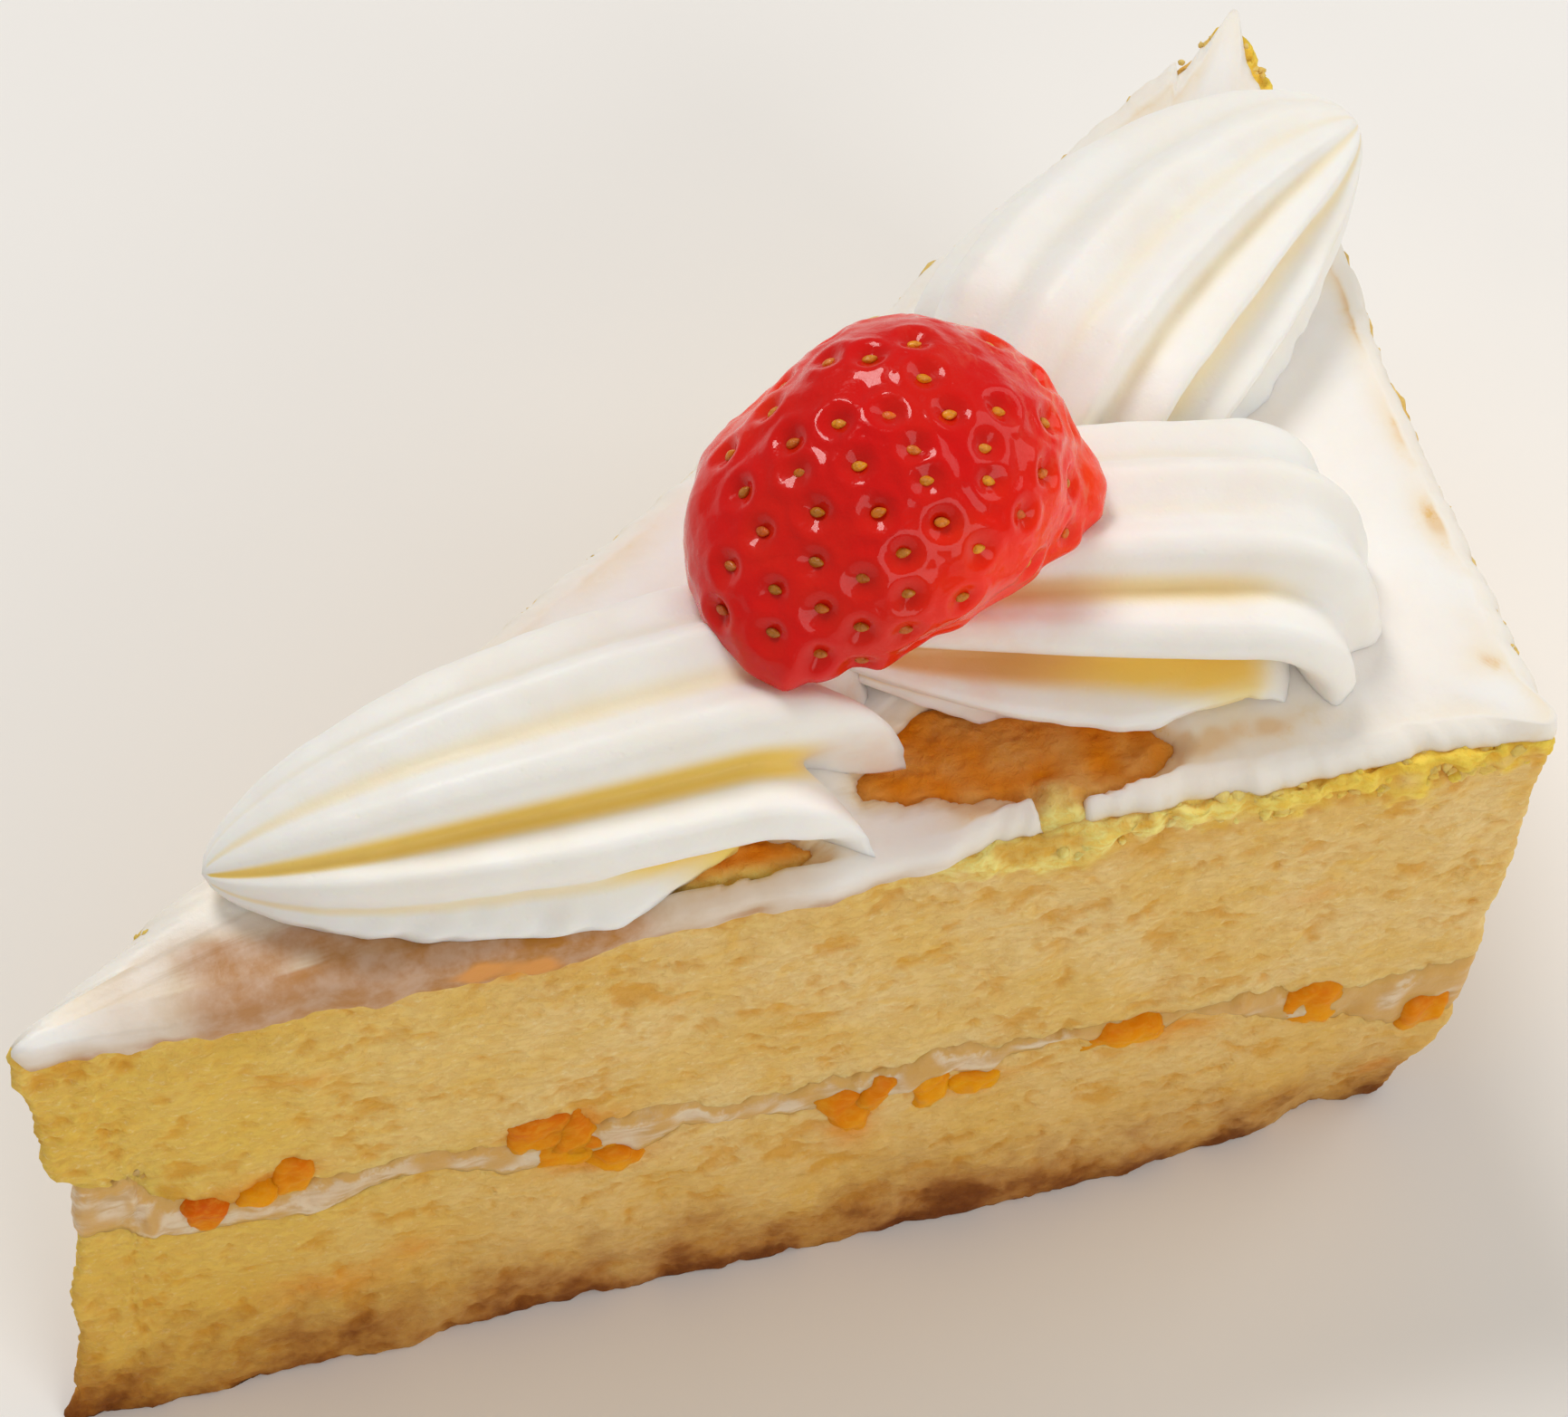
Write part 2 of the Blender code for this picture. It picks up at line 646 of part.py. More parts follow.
def settle(piece):
    """Apply a piece's modifiers and drop the loose scraps that a cut leaves."""
    bpy.context.view_layer.update()
    evaluated = piece.evaluated_get(bpy.context.evaluated_depsgraph_get())
    mesh = bpy.data.meshes.new_from_object(evaluated)
    piece.modifiers.clear()
    piece.data = mesh
    block = bmesh.new()
    block.from_mesh(mesh)
    bodies = sorted(bodies_of(block), key=len)
    for scrap in bodies[:-1]:
        bmesh.ops.delete(block, geom=list(scrap), context="VERTS")
    block.to_mesh(mesh)
    block.free()


def make_slice():
    """Build every piece of the slice."""
    clear_scene()
    slice_group = new_collection("strawberry_shortcake")
    cutters = new_collection("cutters")
    pockets = new_collection("pockets")

    sponge = new_material("sponge", (204, 169, 98), 0.9)
    cream = new_material("filling", (203, 178, 145), 0.6)
    icing = new_material("icing", (238, 230, 218), 0.5)
    piped = new_material("piped_cream", (238, 230, 220), 0.45)
    peach = new_material("peach", (190, 120, 28), 0.3)
    berry = new_material("strawberry", (196, 40, 32), 0.25)

    layers = (
        new_piece("sponge_bottom", build_sponge_bottom(), slice_group, sponge),
        new_piece("filling_cream", build_filling(), slice_group, cream),
        new_piece("sponge_top", build_sponge_top(), slice_group, sponge),
    )
    for index in range(len(PEACH_DICE)):
        name = f"peach_{index + 1}"
        new_piece(name, build_die(index, 0.0), slice_group, peach)
        new_piece(name + "_pocket", build_die(index, GAP), pockets)
    for layer in layers:
        add_boolean(layer, "DIFFERENCE", pockets)
        settle(layer)

    skin = new_piece("icing_top", build_icing(), slice_group, icing)
    patch = new_piece("bare_patch", build_patch_cutter(), cutters)
    add_boolean(skin, "DIFFERENCE", patch)
    settle(skin)

    room = new_piece("berry_room", build_berry([], GAP), cutters)
    shells = {}
    for name in SHELLS:
        shells[name] = new_piece(name, build_shell(name, 0.0), slice_group, piped)
        new_piece(name + "_room", build_shell(name, GAP), cutters)
    for name, neighbours in MEETING_SHELLS:
        for neighbour in neighbours:
            add_boolean(shells[name], "DIFFERENCE", cutters.objects[neighbour + "_room"])
    for shell in shells.values():
        add_boolean(shell, "DIFFERENCE", room)
        settle(shell)

    directions = seed_directions()
    half = new_piece("strawberry_half", build_berry(directions, 0.0), slice_group, berry)
    seeds = new_collection("seeds")
    for direction in directions:
        new_piece("seed", build_seed(direction), seeds, berry)
    add_boolean(half, "UNION", seeds)
    settle(half)
    for seed in list(seeds.objects):
        bpy.data.objects.remove(seed, do_unlink=True)
    bpy.data.collections.remove(seeds)

    for piece in list(slice_group.objects) + list(cutters.objects) + list(pockets.objects):
        piece.data.transform(Matrix.Translation(CENTRING))


make_slice()
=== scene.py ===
# %% [markdown]
# # A slice of strawberry shortcake, dressed for its photograph
#
# The slice is a right-angled wedge of a sheet cake: two layers of yellow sponge, cream with
# peach between them, a thin white icing, three piped cream shells and half a strawberry.
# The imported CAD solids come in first. They fix where everything is, and each one is then
# replaced by a finer piece in the same place.

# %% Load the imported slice
import math
import random

import bmesh
import bpy
from mathutils import Matrix, Vector, kdtree, noise


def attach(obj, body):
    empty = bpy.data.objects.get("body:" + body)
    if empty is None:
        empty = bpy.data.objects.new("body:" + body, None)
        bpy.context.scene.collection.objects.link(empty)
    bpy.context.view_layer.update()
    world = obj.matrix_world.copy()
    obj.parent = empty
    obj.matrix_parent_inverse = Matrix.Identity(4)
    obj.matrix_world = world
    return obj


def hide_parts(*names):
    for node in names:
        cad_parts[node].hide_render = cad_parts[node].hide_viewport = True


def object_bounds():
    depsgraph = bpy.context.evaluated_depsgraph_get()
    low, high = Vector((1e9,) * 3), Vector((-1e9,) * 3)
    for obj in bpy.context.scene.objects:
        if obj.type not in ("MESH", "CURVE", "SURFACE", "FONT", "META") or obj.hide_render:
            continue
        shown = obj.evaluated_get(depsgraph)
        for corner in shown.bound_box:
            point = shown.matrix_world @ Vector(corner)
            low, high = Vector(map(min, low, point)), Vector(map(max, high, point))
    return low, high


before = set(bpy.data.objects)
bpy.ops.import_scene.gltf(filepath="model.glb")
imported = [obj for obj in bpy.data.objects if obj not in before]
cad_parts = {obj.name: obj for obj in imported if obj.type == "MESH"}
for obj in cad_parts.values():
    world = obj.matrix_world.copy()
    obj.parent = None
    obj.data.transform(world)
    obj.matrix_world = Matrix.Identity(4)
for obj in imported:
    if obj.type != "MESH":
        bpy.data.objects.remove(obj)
cad_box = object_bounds()
cad_size = [round(v, 4) for v in cad_box[1] - cad_box[0]]
print("CAD solids:", len(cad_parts), "and their box:", cad_size)

# %% [markdown]
# ## Small tools
#
# Everything is in metres, so lengths are written as millimetres times MM. `eased` is a soft
# step, `bell` a round bump, `follow` reads a height off a list of points, and `waves` gives
# smooth bumps that depend only on the place, so that every run gives the same cake. `layered`
# adds up bumps of several sizes, which is how rough surfaces look.

# %% Measures and smooth functions
MM = 0.001


def clamped(value):
    """Keep a value between 0 and 1."""
    return min(max(value, 0.0), 1.0)


def eased(low, high, value):
    """Rise smoothly from 0 at low to 1 at high."""
    share = clamped((value - low) / (high - low))
    return share * share * (3.0 - 2.0 * share)


def bell(offset, width):
    """A bell-shaped bump: 1 at offset 0, and almost gone two widths away."""
    return math.exp(-((offset / width) ** 2))


def follow(profile, value, soft=True):
    """Read a profile of (position, amount) pairs."""
    if value <= profile[0][0]:
        return profile[0][1]
    for (start, low), (end, high) in zip(profile, profile[1:]):
        if value <= end:
            share = eased(start, end, value) if soft else (value - start) / (end - start)
            return low + (high - low) * share
    return profile[-1][1]


# %% Bumps, turns and curves
def waves(place, size, seed):
    """Smooth bumps between about -1 and 1, of one size in space."""
    return noise.noise(place / size + Vector((seed * 17.3, seed * 5.1, seed * 9.7)))


def layered(place, *layers):
    """Bumps of several sizes added up, each given as (amount, size in millimetres, seed)."""
    return sum(amount * waves(place, size * MM, seed) for amount, size, seed in layers)


def turned(direction, angle):
    """Turn a flat direction counter-clockwise."""
    cosine, sine = math.cos(angle), math.sin(angle)
    across = direction.x * sine + direction.y * cosine
    return Vector((direction.x * cosine - direction.y * sine, across))


def lifted(flat, height):
    """A flat place at a height."""
    return Vector((flat.x, flat.y, height))


def smooth_line(points, share):
    """A point of a soft curve through a list of flat points."""
    count = len(points) - 1
    first = min(int(share * count), count - 1)
    t = share * count - first
    a, b, c, d = (Vector(points[min(max(first + k, 0), count)]) for k in (-1, 0, 1, 2))
    return 0.5 * (2 * b + (c - a) * t + (2 * a - 5 * b + 4 * c - d) * t * t
                  + (3 * b - a - 3 * c + d) * t ** 3)


# %% [markdown]
# ## Camera
#
# The photograph looks down on the slice at 55 degrees, from its front left. The place and the
# lens come from the photo's own vanishing lines, so the render lines up with it.

# %% Camera
CENTRING = Vector((-0.9, 0.9, 0.0)) * MM    # the CAD model's shift from the slice's own middle
EYE = Vector((-62.71, -198.6, 320.18)) * MM + CENTRING
RIGHT = Vector((0.96139, -0.27042, 0.05093))
UP = Vector((0.19405, 0.79746, 0.57131))
FORWARD = Vector((0.19511, 0.53937, -0.81915))

SENSOR_WIDTH = 36                           # in mm, as the next one
FOCAL_LENGTH = 119.02

lens = bpy.data.cameras.new("camera")
lens.sensor_width = SENSOR_WIDTH
lens.sensor_fit = "HORIZONTAL"
lens.lens = FOCAL_LENGTH
lens.clip_start = 0.01
camera = bpy.data.objects.new("camera", lens)
bpy.context.scene.collection.objects.link(camera)
camera.matrix_world = Matrix.Translation(EYE) @ Matrix((RIGHT, UP, -FORWARD)).transposed().to_4x4()
bpy.context.scene.camera = camera
print("camera height:", round(EYE.z, 3))

# %% [markdown]
# ## Light and floor
#
# The photo is lit softly from above and behind: the top is almost white, the front face a
# shade darker, and shadows fall towards the viewer. A large lamp hangs high behind the slice.
# A low one lights the cut face, a weak one fills the right. The floor is plain and pale.

# %% Lamps
def lamp(name, place, target, size, power, colour):
    """A square area lamp that faces a point."""
    data = bpy.data.lights.new(name, "AREA")
    data.size = size
    data.energy = power
    data.color = colour
    made = bpy.data.objects.new(name, data)
    bpy.context.scene.collection.objects.link(made)
    place, target = Vector(place), Vector(target)
    aim = (target - place).to_track_quat("-Z", "Y").to_matrix().to_4x4()
    made.matrix_world = Matrix.Translation(place) @ aim


LAMPS = (                       # name, place, target, size, power and colour
    ("lamp_behind", (-0.2, 0.62, 1.1), (0, 0, 0.04), 0.4, 7.1, (1.0, 0.985, 0.96)),
    ("lamp_front", (0.2, -0.65, 0.42), (0, 0, 0.03), 0.5, 1.8, (1.0, 0.975, 0.94)),
    ("lamp_right", (0.7, 0.1, 0.5), (0, 0, 0.05), 0.5, 1.35, (1.0, 0.985, 0.96)),
)
ROOM_COLOUR = (1.0, 0.98, 0.95, 1.0)
ROOM_STRENGTH = 0.35

for values in LAMPS:
    lamp(*values)
surroundings = bpy.data.worlds.new("surroundings")
surroundings.use_nodes = True
background = surroundings.node_tree.nodes["Background"].inputs
background["Color"].default_value = ROOM_COLOUR
background["Strength"].default_value = ROOM_STRENGTH
bpy.context.scene.world = surroundings
bpy.context.scene.view_settings.view_transform = "Standard"

# %% Floor
FLOOR_RADIUS = 1.5

floor_block = bmesh.new()
bmesh.ops.create_circle(floor_block, cap_ends=True, segments=96, radius=FLOOR_RADIUS)
floor_mesh = bpy.data.meshes.new("floor")
floor_block.to_mesh(floor_mesh)
floor_block.free()
floor = bpy.data.objects.new("floor", floor_mesh)
bpy.context.scene.collection.objects.link(floor)

# %% [markdown]
# ## Building materials from nodes
#
# A finish is a small network: patterns of noise at a few real sizes steer the colour, the
# roughness and the bump of one Principled shader. These helpers keep each network short.
# Patterns read Object coordinates in millimetres, so their sizes are real sizes.

# %% Node helpers
def linear(red, green, blue):
    """Turn a screen colour of 0 to 255 into the shader's linear colour."""
    channels = []
    for value in (red, green, blue):
        share = value / 255
        channels.append(share / 12.92 if share <= 0.04045 else ((share + 0.055) / 1.055) ** 2.4)
    return (*channels, 1.0)


class Finish:
    """A material and short ways to add nodes to it."""

    def __init__(self, name):
        self.material = bpy.data.materials.new(name)
        self.material.use_nodes = True
        self.tree = self.material.node_tree
        self.shader = self.tree.nodes["Principled BSDF"]
        place = self.node("ShaderNodeTexCoord").outputs["Object"]
        self.place = self.node(
            "ShaderNodeMapping", {"Vector": place, "Scale": (1 / MM, 1 / MM, 1 / MM)},
        ).outputs["Vector"]

    def node(self, kind, plugs=None, **settings):
        """Add a node, set its options and fill its sockets with values or links."""
        made = self.tree.nodes.new(kind)
        for name, value in settings.items():
            setattr(made, name, value)
        for socket, value in (plugs or {}).items():
            self.fill(made.inputs[socket], value)
        return made

    def fill(self, socket, value):
        """Set a socket, or link it."""
        if isinstance(value, bpy.types.NodeSocket):
            self.tree.links.new(value, socket)
        else:
            socket.default_value = value

    def squeezed(self, x, y, z):
        """The place, stretched along the axes."""
        plugs = {"Vector": self.place, "Scale": (x, y, z)}
        return self.node("ShaderNodeMapping", plugs).outputs["Vector"]

    def mottle(self, size, detail=3.0, rough=0.5, place=None, warp=0.0):
        """Noise whose blotches are about size millimetres across, 0 to 1."""
        plugs = {
            "Vector": place or self.place, "Scale": 1 / size, "Detail": detail,
            "Roughness": rough, "Distortion": warp,
        }
        return self.node("ShaderNodeTexNoise", plugs).outputs["Fac"]

    def cells(self, size):
        """Distance to scattered points about size millimetres apart."""
        plugs = {"Vector": self.place, "Scale": 1 / size}
        return self.node("ShaderNodeTexVoronoi", plugs).outputs["Distance"]

    def step(self, value, low, high, out_low=0.0, out_high=1.0):
        """Spread the part of a value between low and high over a new range, softly."""
        plugs = {
            "Value": value, "From Min": low, "From Max": high,
            "To Min": out_low, "To Max": out_high,
        }
        made = self.node("ShaderNodeMapRange", plugs, interpolation_type="SMOOTHSTEP")
        return made.outputs["Result"]

    def times(self, a, b):
        """The product of two values."""
        return self.node("ShaderNodeMath", {0: a, 1: b}, operation="MULTIPLY").outputs["Value"]

    def plus(self, a, b):
        """The sum of two values."""
        return self.node("ShaderNodeMath", {0: a, 1: b}, operation="ADD").outputs["Value"]

    def mixed(self, share, low, high):
        """A colour between two colours."""
        made = self.node("ShaderNodeMix", data_type="RGBA", clamp_factor=True)
        self.fill(made.inputs[0], share)
        self.fill(made.inputs[6], linear(*low) if isinstance(low, tuple) else low)
        self.fill(made.inputs[7], linear(*high) if isinstance(high, tuple) else high)
        return made.outputs[2]

    def marks(self):
        """The three marks that the mesh carries, as the red, green and blue of one colour."""
        colour = self.node("ShaderNodeAttribute", attribute_name="marks").outputs["Color"]
        split = self.node("ShaderNodeSeparateColor", {"Color": colour})
        return split.outputs["Red"], split.outputs["Green"], split.outputs["Blue"]

    def axis(self, letter):
        """One coordinate in millimetres."""
        return self.node("ShaderNodeSeparateXYZ", {"Vector": self.place}).outputs[letter]

    def bump(self, height, depth, below=None):
        """Raise the surface by height times depth, in millimetres, over another bump if given."""
        plugs = {"Height": height, "Strength": 1.0, "Distance": depth * MM}
        made = self.node("ShaderNodeBump", plugs)
        if below:
            self.fill(made.inputs["Normal"], below)
        return made.outputs["Normal"]

    def finish(
        self, colour, rough, normal=None, soft=0.0, reach=(1.0, 0.5, 0.3), scale=1.0, **others,
    ):
        """Fill the shader. soft is how much light goes through, reach how far in millimetres."""
        self.fill(self.shader.inputs["Base Color"], colour)
        self.fill(self.shader.inputs["Roughness"], rough)
        if normal:
            self.fill(self.shader.inputs["Normal"], normal)
        self.fill(self.shader.inputs["Subsurface Weight"], soft)
        self.fill(self.shader.inputs["Subsurface Radius"], reach)
        self.fill(self.shader.inputs["Subsurface Scale"], scale * MM)
        for name, value in others.items():
            self.fill(self.shader.inputs[name.replace("_", " ")], value)
        return self.material


tabletop = Finish("pale_floor")
cloud = tabletop.step(tabletop.mottle(60.0), 0.3, 0.7)
floor_mesh.materials.append(tabletop.finish(
    tabletop.mixed(cloud, (243, 241, 238), (246, 244, 241)), tabletop.step(cloud, 0, 1, 0.55, 0.62),
))

# %% [markdown]
# ## The outline of the slice
#
# Seen from above the slice is a right-angled triangle with small rounded corners. The same
# outline carries the sponges, the filling and the icing. It has short steps on the front,
# which the camera sees, and longer ones on the two other sides.

# %% The outline
SLICE_LENGTH = 103.3 * MM
SLICE_DEPTH = 65.1 * MM
FRONT_Y = -32.2                 # of the cut face, in mm
FRONT_CORNER = Vector((51.0, FRONT_Y)) * MM
BACK_CORNER = FRONT_CORNER + Vector((-0.4 * MM, SLICE_DEPTH))
TIP = FRONT_CORNER - Vector((SLICE_LENGTH, 0.0))
CORNERS = (TIP, FRONT_CORNER, BACK_CORNER)
CORNER_RADII = (0.6 * MM, 1.0 * MM, 0.6 * MM)
SIDE_STEPS = (0.26 * MM, 0.4 * MM, 0.44 * MM)       # along the front, the right side and the back
ARC_STEPS = 5                   # round each corner


def rounded_outline(corners, radii, steps):
    """List (point, outward normal) round a polygon with rounded corners."""
    arcs = []
    count = len(corners)
    for index, corner in enumerate(corners):
        way_in = (corner - corners[index - 1]).normalized()
        way_out = (corners[(index + 1) % count] - corner).normalized()
        turn = abs(way_in.angle_signed(way_out))
        start = corner - way_in * radii[index] * math.tan(turn / 2)
        normal = Vector((way_in.y, -way_in.x))
        arcs.append((start - normal * radii[index], radii[index], normal, turn))
    outline = []
    for index, (centre, radius, normal, turn) in enumerate(arcs):
        for step in range(ARC_STEPS + 1):
            outward = turned(normal, turn * step / ARC_STEPS)
            outline.append((centre + outward * radius, outward))
        end = outline[-1][0]
        next_centre, next_radius, next_normal, _ = arcs[(index + 1) % count]
        goal = next_centre + next_normal * next_radius
        pieces = round((goal - end).length / steps[index])
        for step in range(1, pieces):
            outline.append((end.lerp(goal, step / pieces), next_normal))
    return outline


OUTLINE = rounded_outline(CORNERS, CORNER_RADII, SIDE_STEPS)
AROUND = len(OUTLINE)
lengths = [
    (BACK_CORNER - FRONT_CORNER).length, (TIP - BACK_CORNER).length, (FRONT_CORNER - TIP).length,
]
MIDDLE = sum((c * w for c, w in zip(CORNERS, lengths)), Vector((0, 0))) / sum(lengths)
INRADIUS = SLICE_LENGTH * SLICE_DEPTH / sum(lengths)
print("points round the outline:", AROUND, "and its inner circle in mm:", round(INRADIUS / MM, 2))

# %% [markdown]
# ## A drum for each layer
#
# Each layer starts as a drum: `create_cone` with equal ends, its end faces inset ring by ring
# and poked in the middle, its uprights subdivided into rows. The drum is then wrapped onto
# the slice, vertex by vertex. That keeps every layer one closed skin, without any joins.

# %% The drum
def drum(rows, lower_rings, upper_rings):
    """A closed drum with AROUND sides, rows up its side and rings in its two ends."""
    block = bmesh.new()
    bmesh.ops.create_cone(
        block, cap_ends=True, cap_tris=False, segments=AROUND, radius1=1.0, radius2=1.0, depth=1.0,
    )
    ends = sorted((f for f in block.faces if abs(f.normal.z) > 0.5), key=lambda f: f.normal.z)
    for end, count in zip(ends, (lower_rings, upper_rings)):
        for _ in range(count):
            bmesh.ops.inset_individual(block, faces=[end], thickness=1.0 / (count + 1))
    bmesh.ops.poke(block, faces=ends)
    uprights = [edge for edge in block.edges if abs(edge.verts[0].co.z - edge.verts[1].co.z) > 0.5]
    bmesh.ops.subdivide_edges(block, edges=uprights, cuts=rows - 1)
    return block


def wrapped_drum(rows, lower_rings, upper_rings, place_of):
    """A drum on the slice: place_of(index, ring, row) gives a vertex its place and three marks."""
    block = drum(rows, lower_rings, upper_rings)
    marks = block.verts.layers.float_color.new("marks")
    for vertex in block.verts:
        index = round(math.atan2(-vertex.co.x, vertex.co.y) / math.tau * AROUND) % AROUND
        row = round((vertex.co.z + 0.5) * rows)
        count = lower_rings if row == 0 else upper_rings
        ring = round((1.0 - vertex.co.xy.length) * (count + 1))
        place, colour = place_of(index, ring, row)
        vertex.co = place
        vertex[marks] = (*colour, 1.0)
    return block


def new_piece(name, block, material, slot, *nodes):
    """Turn a bmesh into a finished piece that rides on the slice and stands for CAD nodes."""
    bmesh.ops.transform(block, matrix=Matrix.Translation(CENTRING), verts=block.verts)
    bmesh.ops.recalc_face_normals(block, faces=block.faces)
    mesh = bpy.data.meshes.new(name)
    block.to_mesh(mesh)
    block.free()
    mesh.shade_smooth()
    mesh.materials.append(material)
    piece = bpy.data.objects.new(name, mesh)
    bpy.context.scene.collection.objects.link(piece)
    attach(piece, "root")
    if nodes:
        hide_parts(*nodes)
    print(name, "triangles:", sum(len(face.vertices) - 2 for face in mesh.polygons))


# %% [markdown]
# ## Where the sides really are
#
# A cut cake has no flat sides. The right side is undercut at its foot, the point is set back
# between the layers, and the front's foot stands out. The values are the CAD source's, so
# each fine layer lies on its solid. Only the point's foot stands out a little more here. The
# first two lists hold (height, how far in), the third (x, how far out), all in millimetres.

# %% The uneven sides
RIGHT_UNDERCUT = ((0, 4.3), (2.4, 4.1), (12.6, 1.6), (17, 1.0), (46, 0))
TIP_SETBACK = ((0, 0.6), (3, 1.4), (8, 2.2), (15, 2.3), (22, 3.2), (28, 3.6), (32, 1.6), (46, 0.3))
FRONT_FOOT = ((-50, 1.3), (-26, 1.1), (-18, 0.4), (20, 0.4), (32, -0.2), (44, -1.9))
RIGHT_END = (36 * MM, 49 * MM)      # along x, where the undercut starts and where it is whole
TIP_END = (-42 * MM, -49 * MM)      # the same for the point's setback
DENT_DEPTH = 0.8 * MM               # of a broad dent in the right side
DENT_Y = -9 * MM
DENT_WIDTH = 10 * MM
FOOT_HEIGHT = 11 * MM
SIDE_BUMPS = 0.45 * MM              # of the smooth waves that run over every side
FRONT_BAND = (-31.5 * MM, -26.0 * MM)       # along y, where the front gives way to the inside
SPONGE_TOP = 46.0 * MM
ICING_TOP = 48.0 * MM


def front_share(point):
    """1 on the front face, 0 a few millimetres behind it."""
    return 1.0 - eased(*FRONT_BAND, point.y)


def shaped_side(point, outward, height, relief):
    """Move an outline point to where the cake's uneven side really is."""
    place3 = lifted(point, height)
    bump = layered(place3, (1.0, 5.0, 1), (0.5, 2.5, 2))
    place = point + outward * (relief + SIDE_BUMPS * bump)
    level = height / MM
    if point.x > RIGHT_END[0]:
        place.x -= follow(RIGHT_UNDERCUT, level) * MM * eased(*RIGHT_END, point.x)
        on_right = eased(FRONT_CORNER.x - 3 * MM, FRONT_CORNER.x - 1 * MM, point.x)
        place.x -= DENT_DEPTH * on_right * bell(point.y - DENT_Y, DENT_WIDTH)
    if point.x < TIP_END[0]:
        place.x += follow(TIP_SETBACK, level) * MM * eased(*TIP_END, point.x)
    if height < FOOT_HEIGHT:
        foot = follow(FRONT_FOOT, point.x / MM) * MM * front_share(point)
        place.y -= foot * (1.0 - eased(0, FOOT_HEIGHT, height))
    return place


# %% [markdown]
# ## Where the filling shows
#
# On the front the filling is a thin ragged line between the sponges, from one to four
# millimetres tall, and taller at the point. Both its borders were measured on the photo, as
# (x, height) in millimetres. Inside the cake the layers are level and wavy. Both sponges and
# the filling read the same two borders, so they always meet.

# %% The filling's borders
LINE_ABOVE = (
    (-48, 28.9), (-46.3, 28.6), (-44.3, 26.6), (-40.7, 24.0), (-37.2, 23.3), (-33.2, 22.6),
    (-31.3, 23.2), (-28.4, 23.4), (-26.2, 24.0), (-21.8, 22.6), (-18.8, 22.2), (-12.2, 23.0),
    (-8.9, 23.6), (-7.1, 23.0), (-4.4, 21.3), (-1.9, 21.9), (0.0, 21.3), (2.0, 22.2), (5.0, 21.9),
    (6.9, 21.2), (8.8, 21.9), (10.6, 22.6), (13.1, 21.8), (15.0, 21.0), (17.4, 21.7), (19.7, 21.9),
    (22.5, 21.4), (26.1, 20.5), (29.8, 20.9), (32.7, 21.4), (36.4, 20.2), (39.5, 19.8),
    (42.2, 19.2), (45.2, 19.3), (49.5, 19.6),
)
LINE_BELOW = (
    (-48, 22.6), (-46.9, 22.1), (-44.1, 21.0), (-40.6, 20.0), (-33.3, 19.6), (-30.9, 19.8),
    (-28.1, 21.0), (-25.6, 21.2), (-21.5, 20.2), (-16.6, 18.6), (-10.3, 17.6), (-9.1, 18.6),
    (-7.1, 20.2), (-4.3, 19.9), (-2.3, 19.3), (1.0, 18.3), (2.8, 18.5), (8.0, 18.2), (12.1, 19.4),
    (14.3, 18.4), (15.7, 20.2), (17.9, 20.8), (20.2, 21.3), (22.6, 18.7), (26.4, 18.4),
    (28.6, 20.3), (30.4, 20.5), (33.1, 18.6), (35.6, 17.1), (38.4, 15.6), (42.8, 15.0),
    (45.4, 13.4), (49.5, 12.8),
)


INSIDE_BELOW = 19.2 * MM            # the two borders inside the cake
INSIDE_ABOVE = 22.6 * MM
LAYER_SLOPE = 0.055                 # both sink a little towards the right


def layer_border(point, profile, middle, seed):
    """Height of one border of the filling at a place in the slice."""
    place = point.to_3d()
    ragged = layered(place, (0.55, 1.7, seed + 20), (0.4, 0.8, seed + 21))
    shown = follow(profile, point.x / MM, soft=False) * MM
    other = middle - LAYER_SLOPE * point.x + 1.1 * MM * waves(place, 13 * MM, seed)
    share = front_share(point)
    return shown * share + other * (1.0 - share) + ragged * MM


BORDERS = [
    (
        layer_border(point, LINE_BELOW, INSIDE_BELOW, 5),
        layer_border(point, LINE_ABOVE, INSIDE_ABOVE, 6),
    )
    for point, _ in OUTLINE
]
thickness = [(above - below) / MM for below, above in BORDERS]
thinnest, thickest = round(min(thickness), 2), round(max(thickness), 2)
print("filling line in mm, thinnest and thickest:", thinnest, thickest)

# %% [markdown]
# ## The crumb
#
# Sponge is a foam. The knife leaves a pale torn face with ragged hollows of one to three
# millimetres, where bubbles were cut open. The hollows lie flat, because the cake sank a
# little as it cooled. They are summed noise, bent by another noise and cut off at a level.
# They are moved into the mesh, and their depth is stored as a mark. The material paints them
# a darker amber: painted shade in the hollows, with some of the deeper crumb's warmer colour.

# %% Crumb relief
def crumb(place, strength=1.0):
    """Relief of cut sponge in metres, and how deep in a hollow the place is."""
    flat = Vector((place.x, place.y, place.z * 1.3))
    bend = Vector((waves(flat, 2.0 * MM, 41), waves(flat, 2.0 * MM, 42), waves(flat, 2.0 * MM, 43)))
    bent = flat + bend * 0.9 * MM
    foam = layered(bent, (1.0, 2.3, 44), (0.55, 1.05, 45)) + 0.3 * waves(flat, 0.5 * MM, 46)
    hollow = eased(0.06, 0.85, foam + 0.35 * waves(place, 9 * MM, 47))
    pore = 1.0 - eased(0.08, 0.3, noise.voronoi(bent / (1.7 * MM))[0][0])
    lumps = layered(flat, (0.13, 1.3, 48), (0.1, 0.6, 49))
    relief = strength * lumps - 0.24 * hollow - 0.08 * pore
    return relief * MM, min(hollow + 0.3 * pore, 1.0)


sample = [crumb(Vector((0.1 * step, 0, 30)) * MM)[0] / MM for step in range(400)]
print("crumb relief in mm:", round(min(sample), 2), round(max(sample), 2))
